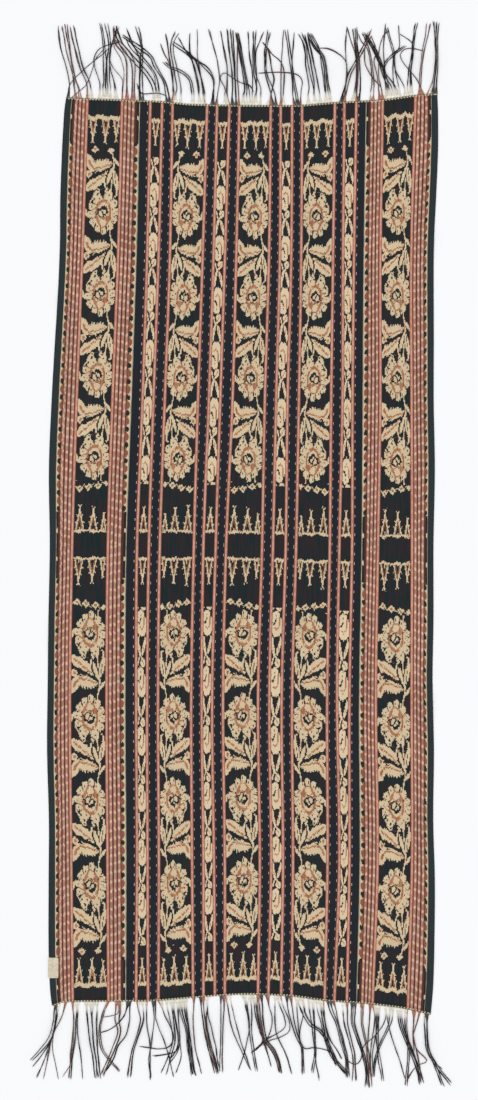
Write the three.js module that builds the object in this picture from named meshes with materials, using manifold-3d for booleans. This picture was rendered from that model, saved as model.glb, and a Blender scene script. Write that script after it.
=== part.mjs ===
// Warp ikat cloth lying flat, face up, with a twined edging row and a loose warp fringe at each end.
// Millimetres. X runs across the cloth, Y along the warp, Z up from the surface it lies on.
import * as THREE from "three";
import { mergeVertices } from "three/addons/utils/BufferGeometryUtils.js";
import Module from "manifold-3d";

const wasm = await Module();
wasm.setup();

// Driving sizes
const CLOTH_THICK = 1.5;
const CELLS_ACROSS = 22;
const CELLS_ALONG = 36;
const EDGING_DEEP = 5.6;
const EDGING_THICK = 2.2;
const PART_GAP = 0.3;
const STRAND_WIDE = 1.8;
const STRAND_HIGH = 1.6;
const STRAND_STEPS = 5;
const STRAND_ROOTED = 2.5;
const STRAND_BEND = 1.35;
const STRAND_UNEVEN = 7;
const LABEL_WIDE = 22.5;
const LABEL_LONG = 45;
const LABEL_THICK = 1;
const LABEL_AT = { x: -417, y: -908, turn: -0.01 };
const MIDDLE = { x: 3.5, y: -1 };

// Selvedges: for each distance along the cloth, the left and the right edge
const SELVEDGE = [
  // [along, left, right]
  [-1020, -415, 412],
  [-979, -422, 416],
  [-946, -425, 418.5],
  [-858, -427.7, 421],
  [-715, -427.5, 422],
  [-583, -427, 418.5],
  [-429, -431, 420],
  [-275, -429.5, 417],
  [-143, -428, 419],
  [22, -425, 419],
  [187, -427, 422],
  [341, -421, 419.5],
  [473, -413.5, 419.8],
  [583, -406.8, 419.5],
  [693, -402.6, 420.2],
  [781, -402, 424.5],
  [891, -398, 429],
  [979, -393, 429],
  [1000, -390, 428],
  [1020, -386, 427.5],
];

// Ends: for each share of the width from the left, the outer line of the edging at both ends
const ENDS = [
  // [share, bottom, top]
  [0, -993, 1007],
  [0.03, -985, 1005.5],
  [0.13, -983, 1003],
  [0.26, -982, 998.5],
  [0.33, -977.5, 993],
  [0.42, -971.5, 991],
  [0.5, -967.5, 990],
  [0.56, -968.5, 990],
  [0.63, -971.5, 990.5],
  [0.72, -981.5, 996.5],
  [0.8, -986, 1000],
  [0.86, -991, 1003.5],
  [0.93, -999, 1011.5],
  [1, -1012, 1016.5],
];

// Low ripples where the cloth stands a little off the surface
const RIPPLES = [
  // [across, along, half length across, half length along, height]
  [-300, 560, 190, 55, 3.2],
  [330, 690, 150, 60, 3.6],
  [120, 800, 210, 50, 2.2],
  [-360, -180, 120, 80, 2.4],
  [350, -330, 130, 70, 3],
  [-140, -640, 230, 60, 2.4],
  [300, -880, 160, 50, 3],
  [-330, 900, 110, 45, 2],
];

// Fringe strands, a row for each bunch from left to right
const TOP_BUNCHES = [
  // [root from, root to, tip from, tip to, reach, strands, sway]
  [-388, -374, -406, -392, 1166, 4, -3],
  [-368, -332, -386, -369, 1166, 7, -3],
  [-321, -275, -319, -292, 1168, 8, -3],
  [-268, -233, -287, -266, 1164, 5, 3],
  [-229, -200, -262, -246, 1157, 5, 4],
  [-198, -163, -240, -222, 1162, 5, 4],
  [-158, -134, -189, -169, 1131, 5, 3],
  [-130, -103, -165, -143, 1148, 5, 4],
  [-99, -81, -136, -99, 1153, 4, 3],
  [-68, -53, -81, -73, 1155, 2, 4],
  [-48, -18, -53, -33, 1157, 7, -3],
  [-15, 20, -29, -9, 1153, 7, 3],
  [24, 42, 9, 30, 1153, 4, -2],
  [48, 77, 44, 62, 1151, 6, -3],
  [84, 119, 88, 114, 1153, 7, 2],
  [125, 158, 121, 138, 1153, 5, 3],
  [163, 200, 142, 162, 1148, 7, 5],
  [216, 240, 226, 244, 1159, 6, -3],
  [243, 264, 248, 263, 1159, 5, 0],
  [273, 299, 268, 284, 1157, 5, -3],
  [306, 350, 293, 319, 1166, 9, -4],
  [352, 367, 337, 350, 1164, 3, -2],
  [370, 381, 374, 385, 1170, 3, -4],
  [385, 400, 398, 414, 1168, 4, -2],
  [405, 426, 418, 436, 1175, 7, 3],
];
const BOTTOM_BUNCHES = [
  // [root from, root to, tip from, tip to, reach, strands, sway]
  [-414, -403, -466, -446, 1115, 5, 2],
  [-400, -387, -440, -409, 1151, 4, 3],
  [-378, -365, -398, -382, 1148, 5, 2],
  [-361, -354, -366, -352, 1153, 2, 0],
  [-348, -332, -334, -326, 1144, 4, -2],
  [-330, -308, -321, -310, 1151, 4, 0],
  [-303, -275, -305, -292, 1148, 5, 0],
  [-271, -249, -286, -273, 1140, 4, 5],
  [-242, -213, -261, -244, 1155, 6, 4],
  [-207, -189, -209, -198, 1155, 4, -3],
  [-183, -161, -178, -156, 1148, 5, 4],
  [-158, -139, -150, -136, 1146, 4, 3],
  [-135, -114, -119, -100, 1146, 6, 0],
  [-109, -104, -95, -87, 1144, 2, -2],
  [-97, -70, -68, -53, 1146, 5, -2],
  [-55, -37, -48, -40, 1144, 3, 3],
  [-33, -18, -13, 9, 1131, 4, -4],
  [-4, 20, 15, 32, 1135, 5, 0],
  [24, 42, 40, 62, 1133, 5, 4],
  [46, 70, 66, 86, 1140, 5, 3],
  [75, 92, 92, 108, 1142, 4, 4],
  [97, 119, 125, 143, 1146, 5, -2],
  [123, 152, 150, 167, 1153, 5, -2],
  [156, 178, 174, 205, 1144, 5, -3],
  [183, 205, 211, 233, 1153, 6, -3],
  [209, 233, 238, 255, 1159, 5, -3],
  [238, 260, 262, 282, 1173, 6, -3],
  [264, 295, 288, 310, 1162, 6, -3],
  [301, 323, 341, 361, 1170, 5, -4],
  [328, 363, 374, 399, 1166, 7, -2],
  [370, 386, 408, 423, 1151, 4, -3],
  [394, 408, 431, 459, 1164, 6, -4],
];

// Value of one column of a table at a place, as a smooth curve through its rows
function along(table, column, place) {
  let i = 0;
  while (i < table.length - 2 && table[i + 1][0] < place) i += 1;
  const slope = (k) => {
    const before = table[Math.max(k - 1, 0)];
    const after = table[Math.min(k + 1, table.length - 1)];
    return (after[column] - before[column]) / (after[0] - before[0]);
  };
  const span = table[i + 1][0] - table[i][0];
  const u = THREE.MathUtils.clamp((place - table[i][0]) / span, 0, 1);
  const a = table[i][column];
  const b = table[i + 1][column];
  const h = u * u * (3 - 2 * u);
  return a + (b - a) * h + span * (u * (1 - u) * (1 - u) * slope(i) - u * u * (1 - u) * slope(i + 1));
}

// Height of the underside above the surface
function lift(x, y) {
  let z = 0;
  for (const [across, length, wide, long, high] of RIPPLES) {
    const far = Math.hypot((x - across) / wide, (y - length) / long);
    z += far < 1 ? high * (0.5 + 0.5 * Math.cos(Math.PI * far)) : 0;
  }
  return z;
}

// Point of the cloth's plane from its share across and its distance along
function crosswise(share, y) {
  return THREE.MathUtils.lerp(along(SELVEDGE, 1, y), along(SELVEDGE, 2, y), share);
}

// Bends a box that spans 0 to 1 on every axis to a place function
function bentBox(cellsAcross, cellsAlong, place) {
  const box = new THREE.BoxGeometry(1, 1, 1, cellsAcross, cellsAlong, 1);
  box.translate(0.5, 0.5, 0.5);
  box.deleteAttribute("normal");
  box.deleteAttribute("uv");
  const shape = mergeVertices(box);
  const points = shape.getAttribute("position");
  const at = new THREE.Vector3();
  for (let i = 0; i < points.count; i += 1) {
    at.fromBufferAttribute(points, i);
    points.setXYZ(i, ...place(at.x, at.y, at.z));
  }
  return shape;
}

// Cloth
const inset = EDGING_DEEP + PART_GAP;
const clothShape = bentBox(CELLS_ACROSS, CELLS_ALONG, (s, t, h) => {
  const bottom = along(ENDS, 1, s) + inset;
  const top = along(ENDS, 2, s) - inset;
  const y = THREE.MathUtils.lerp(bottom, top, t);
  const x = crosswise(s, y);
  return [x, y, lift(x, y) + h * CLOTH_THICK];
});

// Solid of a closed shape
function solidOf(shape) {
  const plain = shape.index ? shape.clone() : shape;
  plain.deleteAttribute("normal");
  plain.deleteAttribute("uv");
  const merged = mergeVertices(plain, 1e-4);
  return new wasm.Manifold(
    new wasm.Mesh({
      numProp: 3,
      vertProperties: new Float32Array(merged.getAttribute("position").array),
      triVerts: new Uint32Array(merged.index.array),
    }),
  );
}

// Shape of a solid
function shapeOf(solid) {
  const mesh = solid.getMesh();
  const shape = new THREE.BufferGeometry();
  shape.setAttribute("position", new THREE.BufferAttribute(new Float32Array(mesh.vertProperties), 3));
  shape.setIndex(new THREE.BufferAttribute(new Uint32Array(mesh.triVerts), 1));
  shape.computeVertexNormals();
  return shape;
}

// One strand with a flat foot, from its root on the end line to its tip
const strandSection = new THREE.Shape([
  new THREE.Vector2(0, -STRAND_WIDE / 2),
  new THREE.Vector2(0, STRAND_WIDE / 2),
  new THREE.Vector2(-STRAND_HIGH, 0),
]);
function strand(root, tip, sway) {
  const points = [];
  for (let k = 0; k <= STRAND_STEPS; k += 1) {
    const u = k / STRAND_STEPS;
    const x = root.x + (tip.x - root.x) * u ** STRAND_BEND + sway * Math.sin(Math.PI * u);
    points.push(new THREE.Vector3(x, THREE.MathUtils.lerp(root.y, tip.y, u), 0));
  }
  const path = new THREE.CatmullRomCurve3(points);
  return new THREE.ExtrudeGeometry(strandSection, {
    steps: STRAND_STEPS,
    bevelEnabled: false,
    extrudePath: path,
  });
}

// Edging row with the strands that hang from it, fused into one body
function fringe(column, side, bunches) {
  const outer = (s) => along(ENDS, column, s);
  const edging = bentBox(CELLS_ACROSS, 1, (s, t, h) => {
    const y = outer(s) - side * EDGING_DEEP * (side > 0 ? 1 - t : t);
    return [crosswise(s, y), y, h * EDGING_THICK];
  });
  const solids = [solidOf(edging)];
  let n = 0;
  for (const [rootFrom, rootTo, tipFrom, tipTo, reach, strands, sway] of bunches) {
    for (let k = 0; k < strands; k += 1) {
      const share = k / (strands - 1);
      const x = THREE.MathUtils.lerp(rootFrom, rootTo, share);
      const left = crosswise(0, side * 990);
      const s = (x - left) / (crosswise(1, side * 990) - left);
      const uneven = STRAND_UNEVEN * (((n * 0.618) % 1) - 0.5);
      const root = new THREE.Vector2(x, outer(s) - side * STRAND_ROOTED);
      const tip = new THREE.Vector2(THREE.MathUtils.lerp(tipFrom, tipTo, share), side * (reach + uneven));
      solids.push(solidOf(strand(root, tip, sway)));
      n += 1;
    }
  }
  return shapeOf(wasm.Manifold.union(solids));
}

// Label lying on the cloth at the lower left corner
const labelShape = bentBox(2, 3, (s, t, h) => {
  const x = (s - 0.5) * LABEL_WIDE;
  const y = (t - 0.5) * LABEL_LONG;
  const c = Math.cos(LABEL_AT.turn);
  const n = Math.sin(LABEL_AT.turn);
  const z = CLOTH_THICK + PART_GAP + h * LABEL_THICK;
  return [LABEL_AT.x + c * x - n * y, LABEL_AT.y + n * x + c * y, z];
});

// A named mesh with its own plain finish
function piece(name, shape, colour, roughness) {
  shape.computeVertexNormals();
  const finish = new THREE.MeshStandardMaterial({ color: colour, roughness, metalness: 0 });
  const mesh = new THREE.Mesh(shape, finish);
  mesh.name = name;
  return mesh;
}

const part = new THREE.Group();
part.name = "ikat_cloth";
part.position.set(MIDDLE.x, MIDDLE.y, 0);
part.add(piece("cloth", clothShape, 0x2b2a2c, 0.92));
part.add(piece("fringe_top", fringe(2, 1, TOP_BUNCHES), 0x2a2627, 0.9));
part.add(piece("fringe_bottom", fringe(1, -1, BOTTOM_BUNCHES), 0x2a2627, 0.9));
part.add(piece("label", labelShape, 0xe6dcc4, 0.85));

export default part;
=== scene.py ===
import math

import bpy
import numpy as np
from bpy.props import FloatProperty, FloatVectorProperty, IntProperty, PointerProperty
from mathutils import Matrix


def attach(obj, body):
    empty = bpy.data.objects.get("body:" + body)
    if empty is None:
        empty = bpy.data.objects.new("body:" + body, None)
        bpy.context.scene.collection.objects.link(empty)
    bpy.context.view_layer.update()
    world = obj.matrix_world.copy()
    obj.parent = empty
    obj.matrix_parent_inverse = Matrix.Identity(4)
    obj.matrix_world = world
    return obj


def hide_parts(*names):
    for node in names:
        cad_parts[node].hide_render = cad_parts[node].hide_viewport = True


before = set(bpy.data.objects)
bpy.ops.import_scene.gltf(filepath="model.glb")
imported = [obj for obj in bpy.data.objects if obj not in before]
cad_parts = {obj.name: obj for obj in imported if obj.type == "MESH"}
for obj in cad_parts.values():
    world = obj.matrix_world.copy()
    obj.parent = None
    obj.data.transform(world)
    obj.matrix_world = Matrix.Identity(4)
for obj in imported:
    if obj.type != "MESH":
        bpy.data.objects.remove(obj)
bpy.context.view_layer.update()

bl_info = {
    "name": "Ikat Woven Cloth",
    "version": (1, 0, 0),
    "blender": (4, 5, 0),
    "location": "3D View > Sidebar > Woven Cloth",
    "description": "Dresses a warp ikat cloth with its stripes, flower bands, fringes and label",
    "category": "Object",
}

# Sizes in the cloth's own millimetres: X across, Y along the warp, Z up
MM = 0.001
MIDDLE_AT = (3.5, -1.0)
HALF_ROWS = 446.0
ROW_MM = 2.2
SALMON_HALF = 3.4
CLOTH_Z = (0.05, 1.25)
CLOTH_END = 444.8
STRAND_ROOTED = 2.5
FRINGE_REACH = 1176.0
YARN_RADIUS = 0.5
YARN_MEETS = (14, 26)
CLUMP_OF = 3
CLUMP_PULL = 0.85
LONG_LEG = 30.0
KNEE_AT = 20.0
TIP_TRIM = 3.5
PATH_POINTS = 49
RIB_HIGH = 0.12
PUCKER_HIGH = 0.12
SELVEDGE_DROP = 0.35
DASH_BEAT = 18.4
TOOTH_BEAT = 35.0
NAVY_BEAT = 20.4
TEETH_FROM = 72.0
TEETH_TO = 886.0
PALE_BARS = (30.0, 940.0)
ROOTS_AT = 985.0
ENDS_AT = 990.0
EDGING_AT = 1000.0
TIE_BLEED = 1.3
LABEL_AT = {"x": -417.0, "y": -908.0, "turn": -0.01, "low": 1.85}
LABEL_SIZE = (22.5, 45.0, 0.7)
LABEL_CORNER = 2.2
LABEL_CELLS = (12, 24)

# Rows and cells to a column of the grids that the charts are painted on
CHART_ROWS = 256
CHART_CELLS = 8

# Bake map of the cloth: each face is laid out as two halves side by side
BAKE_FACES = {
    # face: (length of a metre, lower edge)
    "top": (0.565, 0.004),
    "under": (0.385, 0.598),
}
BAKE_HALVES = {
    # half of the cloth: (metres added along, halves to its left, gaps to its left)
    "lower": (1.013, 0, 0.006),
    "upper": (-0.008, 1, 0.012),
}
BAKE_WEST = 0.432
BAKE_WIDE = 0.86
RIM_START = 0.69
RIM_LONG = 0.3
RIM_TALL = 0.01

# Stage, in metres and degrees
FLOOR_REACH = 12.0
FLOOR_LOW = -0.0003
LAMP_SPREAD = 50
LAMP_TURN = (28, -24, 0)
CAMERA_OVER = (-0.0053, 0.010)
CAMERA_SENSOR = 36

# Selvedges: for each distance along the cloth, the left and the right edge
SELVEDGE = (
    # along, left, right
    (-1020, -415, 412),
    (-979, -422, 416),
    (-946, -425, 418.5),
    (-858, -427.7, 421),
    (-715, -427.5, 422),
    (-583, -427, 418.5),
    (-429, -431, 420),
    (-275, -429.5, 417),
    (-143, -428, 419),
    (22, -425, 419),
    (187, -427, 422),
    (341, -421, 419.5),
    (473, -413.5, 419.8),
    (583, -406.8, 419.5),
    (693, -402.6, 420.2),
    (781, -402, 424.5),
    (891, -398, 429),
    (979, -393, 429),
    (1000, -390, 428),
    (1020, -386, 427.5),
)

# Ends and middle: for each share of the width, the outer line of the edging and the middle row
ENDS = (
    # share, bottom, top, middle
    (0, -993, 1007, 23),
    (0.03, -985, 1005.5, 23),
    (0.13, -983, 1003, 23),
    (0.26, -982, 998.5, 22.8),
    (0.33, -977.5, 993, 22.5),
    (0.42, -971.5, 991, 22),
    (0.5, -967.5, 990, 21.3),
    (0.56, -968.5, 990, 20),
    (0.63, -971.5, 990.5, 18),
    (0.72, -981.5, 996.5, 15),
    (0.8, -986, 1000, 13),
    (0.86, -991, 1003.5, 12),
    (0.93, -999, 1011.5, 11),
    (1, -1012, 1016.5, 10.3),
)

# Rows that the pattern of the lower half lies further out
LOWER_BOW = (
    # row, rows added
    (0, 0),
    (320, 0),
    (385, 1.6),
    (427, 2.6),
    (438, 1.6),
    (446, 0),
)

# Low ripples where the cloth stands a little off the surface
RIPPLES = (
    # across, along, half length across, half length along, height
    (-300, 560, 190, 55, 3.2),
    (330, 690, 150, 60, 3.6),
    (120, 800, 210, 50, 2.2),
    (-360, -180, 120, 80, 2.4),
    (350, -330, 130, 70, 3),
    (-140, -640, 230, 60, 2.4),
    (300, -880, 160, 50, 3),
    (-330, 900, 110, 45, 2),
)

# Centre lines of the eighteen salmon stripes, from left to right, at seven places along the cloth
SALMON_PLACES = (-957, -671, -319, 22, 341, 649, 983)
SALMON_LINES = (
    (-375, -378, -381, -376, -366, -354, -343),
    (-296, -298, -300, -297, -287, -275, -266),
    (-235, -233, -235, -233, -221, -211, -204),
    (-209, -210, -211, -207, -197, -186, -178),
    (-186, -185, -187, -183, -172, -161, -155),
    (-110, -112, -114, -108, -99, -89, -79),
    (-87, -87, -91, -87, -75, -65, -57),
    (-62, -64, -68, -60, -50, -40, -30),
    (-40, -40, -44, -37, -23, -15, -8),
    (33, 37, 33, 42, 48, 57, 61),
    (56, 62, 58, 66, 73, 81, 83),
    (84, 88, 85, 94, 98, 106, 108),
    (107, 110, 108, 117, 123, 128, 130),
    (180, 186, 185, 191, 194, 198, 202),
    (202, 212, 207, 212, 219, 220, 223),
    (229, 234, 234, 240, 241, 244, 249),
    (286, 296, 292, 297, 302, 302, 307),
    (364, 372, 371, 372, 371, 370, 379),
)

# Stripes that fill each gap between two salmon stripes, from the outside of the cloth inwards
OUTER_GAP = (
    # stripe, share from, share to
    ("selvedge", 0, 0.3),
    ("pale_thread", 0.3, 0.322),
    ("dogtooth", 0.322, 0.46),
    ("dashes", 0.46, 1),
)
INNER_GAP = (
    ("dashes", 0, 0.46),
    ("dogtooth_inner", 0.46, 0.62),
    ("pale_thread", 0.62, 0.655),
    ("navy_single", 0.655, 1),
)
FLOWER_GAP = (("flower", 0, 1),)
FLOWER_TURNED = (("flower_turned", 0, 1),)
NARROW_GAP = (("narrow", 0, 1),)
NAVY_GAP = (("navy", 0, 1),)
GAPS = (
    # stripes, read from the right
    (OUTER_GAP, False),
    (FLOWER_GAP, False),
    (INNER_GAP, False),
    (NARROW_GAP, False),
    (NAVY_GAP, False),
    (FLOWER_TURNED, False),
    (NAVY_GAP, False),
    (NARROW_GAP, False),
    (NAVY_GAP, False),
    (FLOWER_GAP, False),
    (NAVY_GAP, False),
    (NARROW_GAP, False),
    (NAVY_GAP, False),
    (FLOWER_TURNED, False),
    (NAVY_GAP, False),
    (NARROW_GAP, False),
    (INNER_GAP, True),
    (FLOWER_GAP, False),
    (OUTER_GAP, True),
)

# Each kind of stripe: mesh columns, value across at its left, middle and right, finish
STRIPES = {
    # stripe: (columns, left, middle, right, finish)
    "selvedge": (3, 0, 0.5, 1, "selvedge"),
    "pale_thread": (1, 0, 0.5, 1, "pale_thread"),
    "dogtooth": (2, 0, 0.5, 1, "dogtooth"),
    "dogtooth_inner": (2, 1, 0.5, 0, "dogtooth"),
    "dashes": (3, 0, 1.5, 3, "dashes"),
    "navy": (2, 0, 11, 0, "navy"),
    "navy_single": (2, 19, 9.5, 0, "navy"),
    "flower": (4, 0, 0.5, 1, "flower"),
    "flower_turned": (4, 1, 0.5, 0, "flower"),
    "narrow": (2, 0, 0.5, 1, "narrow"),
    "salmon": (2, 0, 0.5, 1, "salmon"),
}

# Bands drawn by charts: rows from the middle outwards, rows of a unit, chart columns, warp threads
BANDS = {
    "flower": {"inner": 63.8, "outer": 391.0, "unit": 81.8, "columns": 32, "threads": 38},
    "narrow": {"inner": 61.0, "outer": 389.4, "unit": 52.0, "columns": 9, "threads": 12},
}
NARROW_ARCHES = (
    # row, count of units
    (61.0, 5.55),
    (89.5, 5),
    (149.0, 4),
    (206.0, 3),
    (261.0, 2),
    (313.4, 1),
    (363.7, 0),
    (389.4, -0.5),
)

# Charts: groups of shapes painted in order on a dark ground, in small rows and columns
FLOWER_UNIT_CHART = (
    # dye, form, then points and half widths of each shape
    ("pale", "line",
     (((25.0, 76.5), (25.2, 82)), (0.35, 0.6)),
     (((25.3, 0), (26.4, 4.9), (26.7, 12.3), (26.1, 17)), (0.6, 0.9))),
    ("pale", "leaf",
     (((26.7, 3.2), (31.9, 12.6)), (1.3,)),
     (((0.4, 0.2), (6.6, 18.6)), (4.0,))),
    ("pale", "wedge", (((2.6, 12), (1.4, 1.6)), (3.2, 0.5))),
    ("pale", "spiked", (((3.5, 13.6), (25.4, 10.2)), (7.4, 8))),
    ("rust", "line", (((2.4, 7.4), (3.6, 11.2), (7.1, 14.6), (13.4, 13.8), (24.2, 11)), (1.2, 0.7))),
    ("pale", "line", (((8.9, 18.2), (12.3, 17.2), (18.6, 14.9)), (0.5, 0.5))),
    ("pale", "oval", (((2.6, 20.4),), (2.9, 4.0))),
    ("pale", "line", (((2.8, 23), (3.2, 25.5)), (1.1, 0.3))),
    ("rust", "oval", (((2.7, 20.4),), (1.3, 1.9))),
    ("pale", "leaf", (((20.6, 17.5), (-0.8, 37.6)), (5.5,))),
    ("pale", "oval", (((14.9, 24.2),), (4.0, 5.2))),
    ("dark", "line", (((4.5, 24.6), (12.9, 20.2), (22.5, 15.4)), (1.7, 1.1))),
    ("rust", "dashed", (((17.9, 20.5), (1.4, 35.3)), (0.9, 4))),
    ("pale", "line", (((17.5, 28), (18.7, 32), (20.7, 36.5), (18.7, 38.8), (16.4, 39.3)), (1.2, 0.7))),
    ("dark", "line",
     (((17, 30), (16.4, 35)), (0.5, 0.4)),
     (((19.5, 21.5), (19.7, 34)), (0.6, 0.4))),
    ("pale", "leaf",
     (((25.2, 14.6), (20.5, 31.2)), (1.8,)),
     (((26.6, 14.2), (31.2, 36.6)), (2.4,))),
    ("dark", "line", (((27.8, 19), (29.3, 29)), (0.35, 0.3))),
    ("pale", "oval", (((25.3, 27.8),), (1.1, 2.6))),
    ("pale", "line",
     (((25, 31.3), (24.4, 37.6), (25.3, 40.5), (27.8, 41.6), (30.1, 41.6), (30.4, 37.6), (29.6, 35.3)), (0.7, 0.7))),
    ("pale", "ring", (((11.8, 37.2),), (1.5, 1.8, 0.5))),
    ("pale", "oval", (((17.4, 60.4),), (12.6, 18.2))),
    ("pale", "diamond", (((17.6, 60.4),), (16.4, 20.8))),
    ("pale", "leaf", (((15.6, 55), (9.2, 36.8)), (5.0,))),
    ("pale", "oval", (((11.8, 46.2),), (4.6, 5.4))),
    ("pale", "leaf", (((20, 54), (24.4, 36.6)), (4.6,))),
    ("pale", "oval",
     (((23.4, 44.2),), (4.0, 5.2)),
     (((27.8, 49.4),), (3.4, 4.4))),
    ("pale", "leaf", (((24, 54.6), (33.4, 58.2)), (3.4,))),
    ("pale", "oval",
     (((28.6, 65.8),), (3.0, 3.0)),
     (((24.6, 72.4),), (3.0, 4.0)),
     (((18.4, 77.2),), (2.9, 3.8)),
     (((12.2, 74.4),), (2.8, 3.6)),
     (((7.4, 68.4),), (3.0, 3.2)),
     (((4.8, 61.4),), (3.4, 2.8)),
     (((6.2, 53.4),), (3.2, 3.4))),
    ("dark", "line",
     (((17.0, 39), (17.4, 46.2)), (1.3, 0.3)),
     (((27.2, 40.6), (26.0, 47.2)), (0.8, 0.25)),
     (((32, 53.4), (27.6, 53.0)), (0.8, 0.3)),
     (((32, 62.2), (26.6, 61.6)), (0.8, 0.3)),
     (((29.6, 71.0), (25.8, 67.6)), (1.0, 0.3)),
     (((21.8, 80), (20.8, 71.6)), (0.9, 0.35)),
     (((15.2, 80.4), (15.4, 72.2)), (0.8, 0.35)),
     (((9.0, 74.8), (11.0, 69.2)), (1.0, 0.3)),
     (((2.8, 65.8), (8.2, 64.0)), (1.1, 0.3)),
     (((0.8, 57.4), (7.6, 57.0)), (0.9, 0.3))),
    ("dark", "oval",
     (((20.8, 69.6),), (0.45, 1.2)),
     (((26.6, 55.2),), (0.45, 1.3)),
     (((9.4, 58.8),), (0.45, 1.2)),
     (((11.0, 51.4),), (0.45, 1.1))),
    ("dark", "line", (((5.0, 46.8), (9.6, 49.6)), (0.8, 0.3))),
    ("dark", "oval",
     (((11.4, 40.6),), (1.1, 1.6)),
     (((8.6, 44.4),), (0.8, 1.4)),
     (((6.2, 48.4),), (0.8, 1.4)),
     (((13.6, 44.6),), (0.45, 1.3)),
     (((22.8, 41.8),), (0.45, 1.5)),
     (((24.8, 46.6),), (0.45, 1.2)),
     (((28.8, 48.6),), (0.5, 1.2)),
     (((29.2, 57.8),), (0.9, 0.6)),
     (((27.0, 59.6),), (0.45, 0.9)),
     (((28.2, 66.6),), (0.8, 0.7)),
     (((24.8, 65.4),), (0.45, 1.0)),
     (((23.4, 73.6),), (0.45, 1.4)),
     (((17.3, 77.6),), (0.45, 1.6)),
     (((12.2, 73.4),), (0.45, 1.3)),
     (((7.8, 68.2),), (0.6, 1.0)),
     (((9.6, 63.2),), (0.45, 1.0)),
     (((5.0, 60.4),), (0.9, 0.6)),
     (((6.4, 53.2),), (0.5, 1.1))),
    ("pale", "line", (((10.8, 39.3), (6.4, 45.4), (3.6, 50.4)), (0.6, 0.5))),
    ("pale", "leaf", (((0.1, 54.5), (1.1, 63)), (1.2,))),
    ("rust", "ring", (((17.6, 59.0),), (6.9, 12.0, 1.0))),
    ("pale", "oval", (((21.8, 49.2),), (1.0, 1.2))),
    ("rust", "line", (((7, 55), (11.4, 53.8)), (0.6, 0.7))),
    ("rust", "oval", (((22.2, 65.6),), (2.3, 3.6))),
    ("dark", "line",
     (((12.7, 59.2), (12.9, 55.8), (15.6, 54.8), (17.2, 52.6), (19.8, 54.2), (21.4, 57), (21.2, 59.8),
       (19.6, 61)), (1.1, 1.0))),
    ("dark", "oval", (((17.6, 55.6),), (2.6, 1.9))),
    ("pale", "line", (((16.6, 55.4), (18.8, 58.4)), (0.6, 0.7))),
    ("dark", "line",
     (((16.6, 57.8), (18.0, 60.6), (17.8, 63.2)), (0.6, 0.7)),
     (((10.8, 60.4), (13.7, 61.7), (16.2, 63.6), (18.2, 65.2), (19.2, 67.2)), (0.7, 1.1))),
    ("rust", "line", (((12.9, 64.2), (13.2, 69.6)), (0.6, 0.5))),
    ("pale", "oval", (((17.8, 69),), (3.0, 3.6))),
    ("rust", "ring", (((17.6, 68.6),), (4.0, 5.0, 0.5))),
)


def tumpal(across, base, wide, tall, point):
    """Shapes of one spear head that stands on a base row and points to a side."""
    def at(x, y):
        return (across + x * wide, base + point * y * tall)
    inner = wide - 1.2
    spikes = [
        ((at(side * out, high), at(side * near, low)), (0.4, thick))
        for out, high, near, low, thick in ((0.98, 0.36, 0.66, 0.28, 0.5), (0.68, 0.62, 0.36, 0.54, 0.4))
        for side in (-1, 1)
    ]
    return (
        ("pale", "wedge", ((at(0, 0), at(0, 0.8)), (wide, 0.9))),
        ("rust", "wedge", ((at(0, 0.05), at(0, 0.72)), (inner, 0.0))),
        ("dark", "wedge", ((at(0, 0.05), at(0, 0.46)), (inner * 0.62, 0.0))),
        ("pale", "wedge", ((at(0, 0), at(0, 0.2)), (0.8, 0.0))),
        ("pale", "line", *spikes,
         ((at(0, 0.75), at(0, 0.97)), (0.75, 0.55)),
         ((at(-0.32, 1.03), at(0, 0.95), at(0.32, 1.03)), (0.5, 0.5))),
    )


FLOWER_MIDDLE_CHART = (
    *tumpal(5.3, 13.6, 4.4, 25.5, 1),
    *tumpal(18.6, 13.4, 4.4, 23.5, 1),
    *tumpal(28.8, 13.4, 2.8, 18, 1),
    ("pale", "line",
     (((0, 13.4), (5, 12.6), (11.5, 14.2), (18.5, 12.6), (25, 14.2), (29, 12.8), (32, 13.6)), (0.9, 0.9))),
    ("pale", "diamond",
     (((4.4, 56.0),), (3.5, 3.6)),
     (((13.0, 57.4),), (3.7, 3.8)),
     (((22.4, 59.4),), (3.7, 3.8)),
     (((30.0, 61.4),), (2.8, 2.9))),
    ("rust", "oval",
     (((4.6, 56.2),), (1.1, 1.2)),
     (((13.0, 57.4),), (1.3, 1.4)),
     (((22.4, 59.4),), (1.3, 1.4))),
    ("pale", "line",
     (((0, 58), (4.4, 54.4), (8.8, 59.0), (13, 55.6), (17.8, 60.8), (22.4, 57.4), (26.6, 62), (30, 60.4)),
       (0.35, 0.35))),
)
FLOWER_END_CHART = (
    ("pale", "line", (((25.4, 0), (25.2, -3)), (0.9, 0.5))),
    ("pale", "diamond",
     (((8.0, 3.6),), (3.9, 3.4)),
     (((23.8, 3.6),), (3.6, 3.2))),
    ("rust", "oval", (((8.0, 3.6),), (1.2, 1.0))),
    *tumpal(5.2, 35.6, 4.0, 24, -1),
    *tumpal(17.6, 35.6, 4.2, 24.5, -1),
    *tumpal(28.4, 35.6, 3.4, 23, -1),
    ("pale", "line",
     (((0, 36.4), (5.2, 34.6), (11.6, 37.2), (18, 34.8), (23.6, 37), (28.6, 34.8), (32, 36.4)), (1.9, 1.9))),
)
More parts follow.
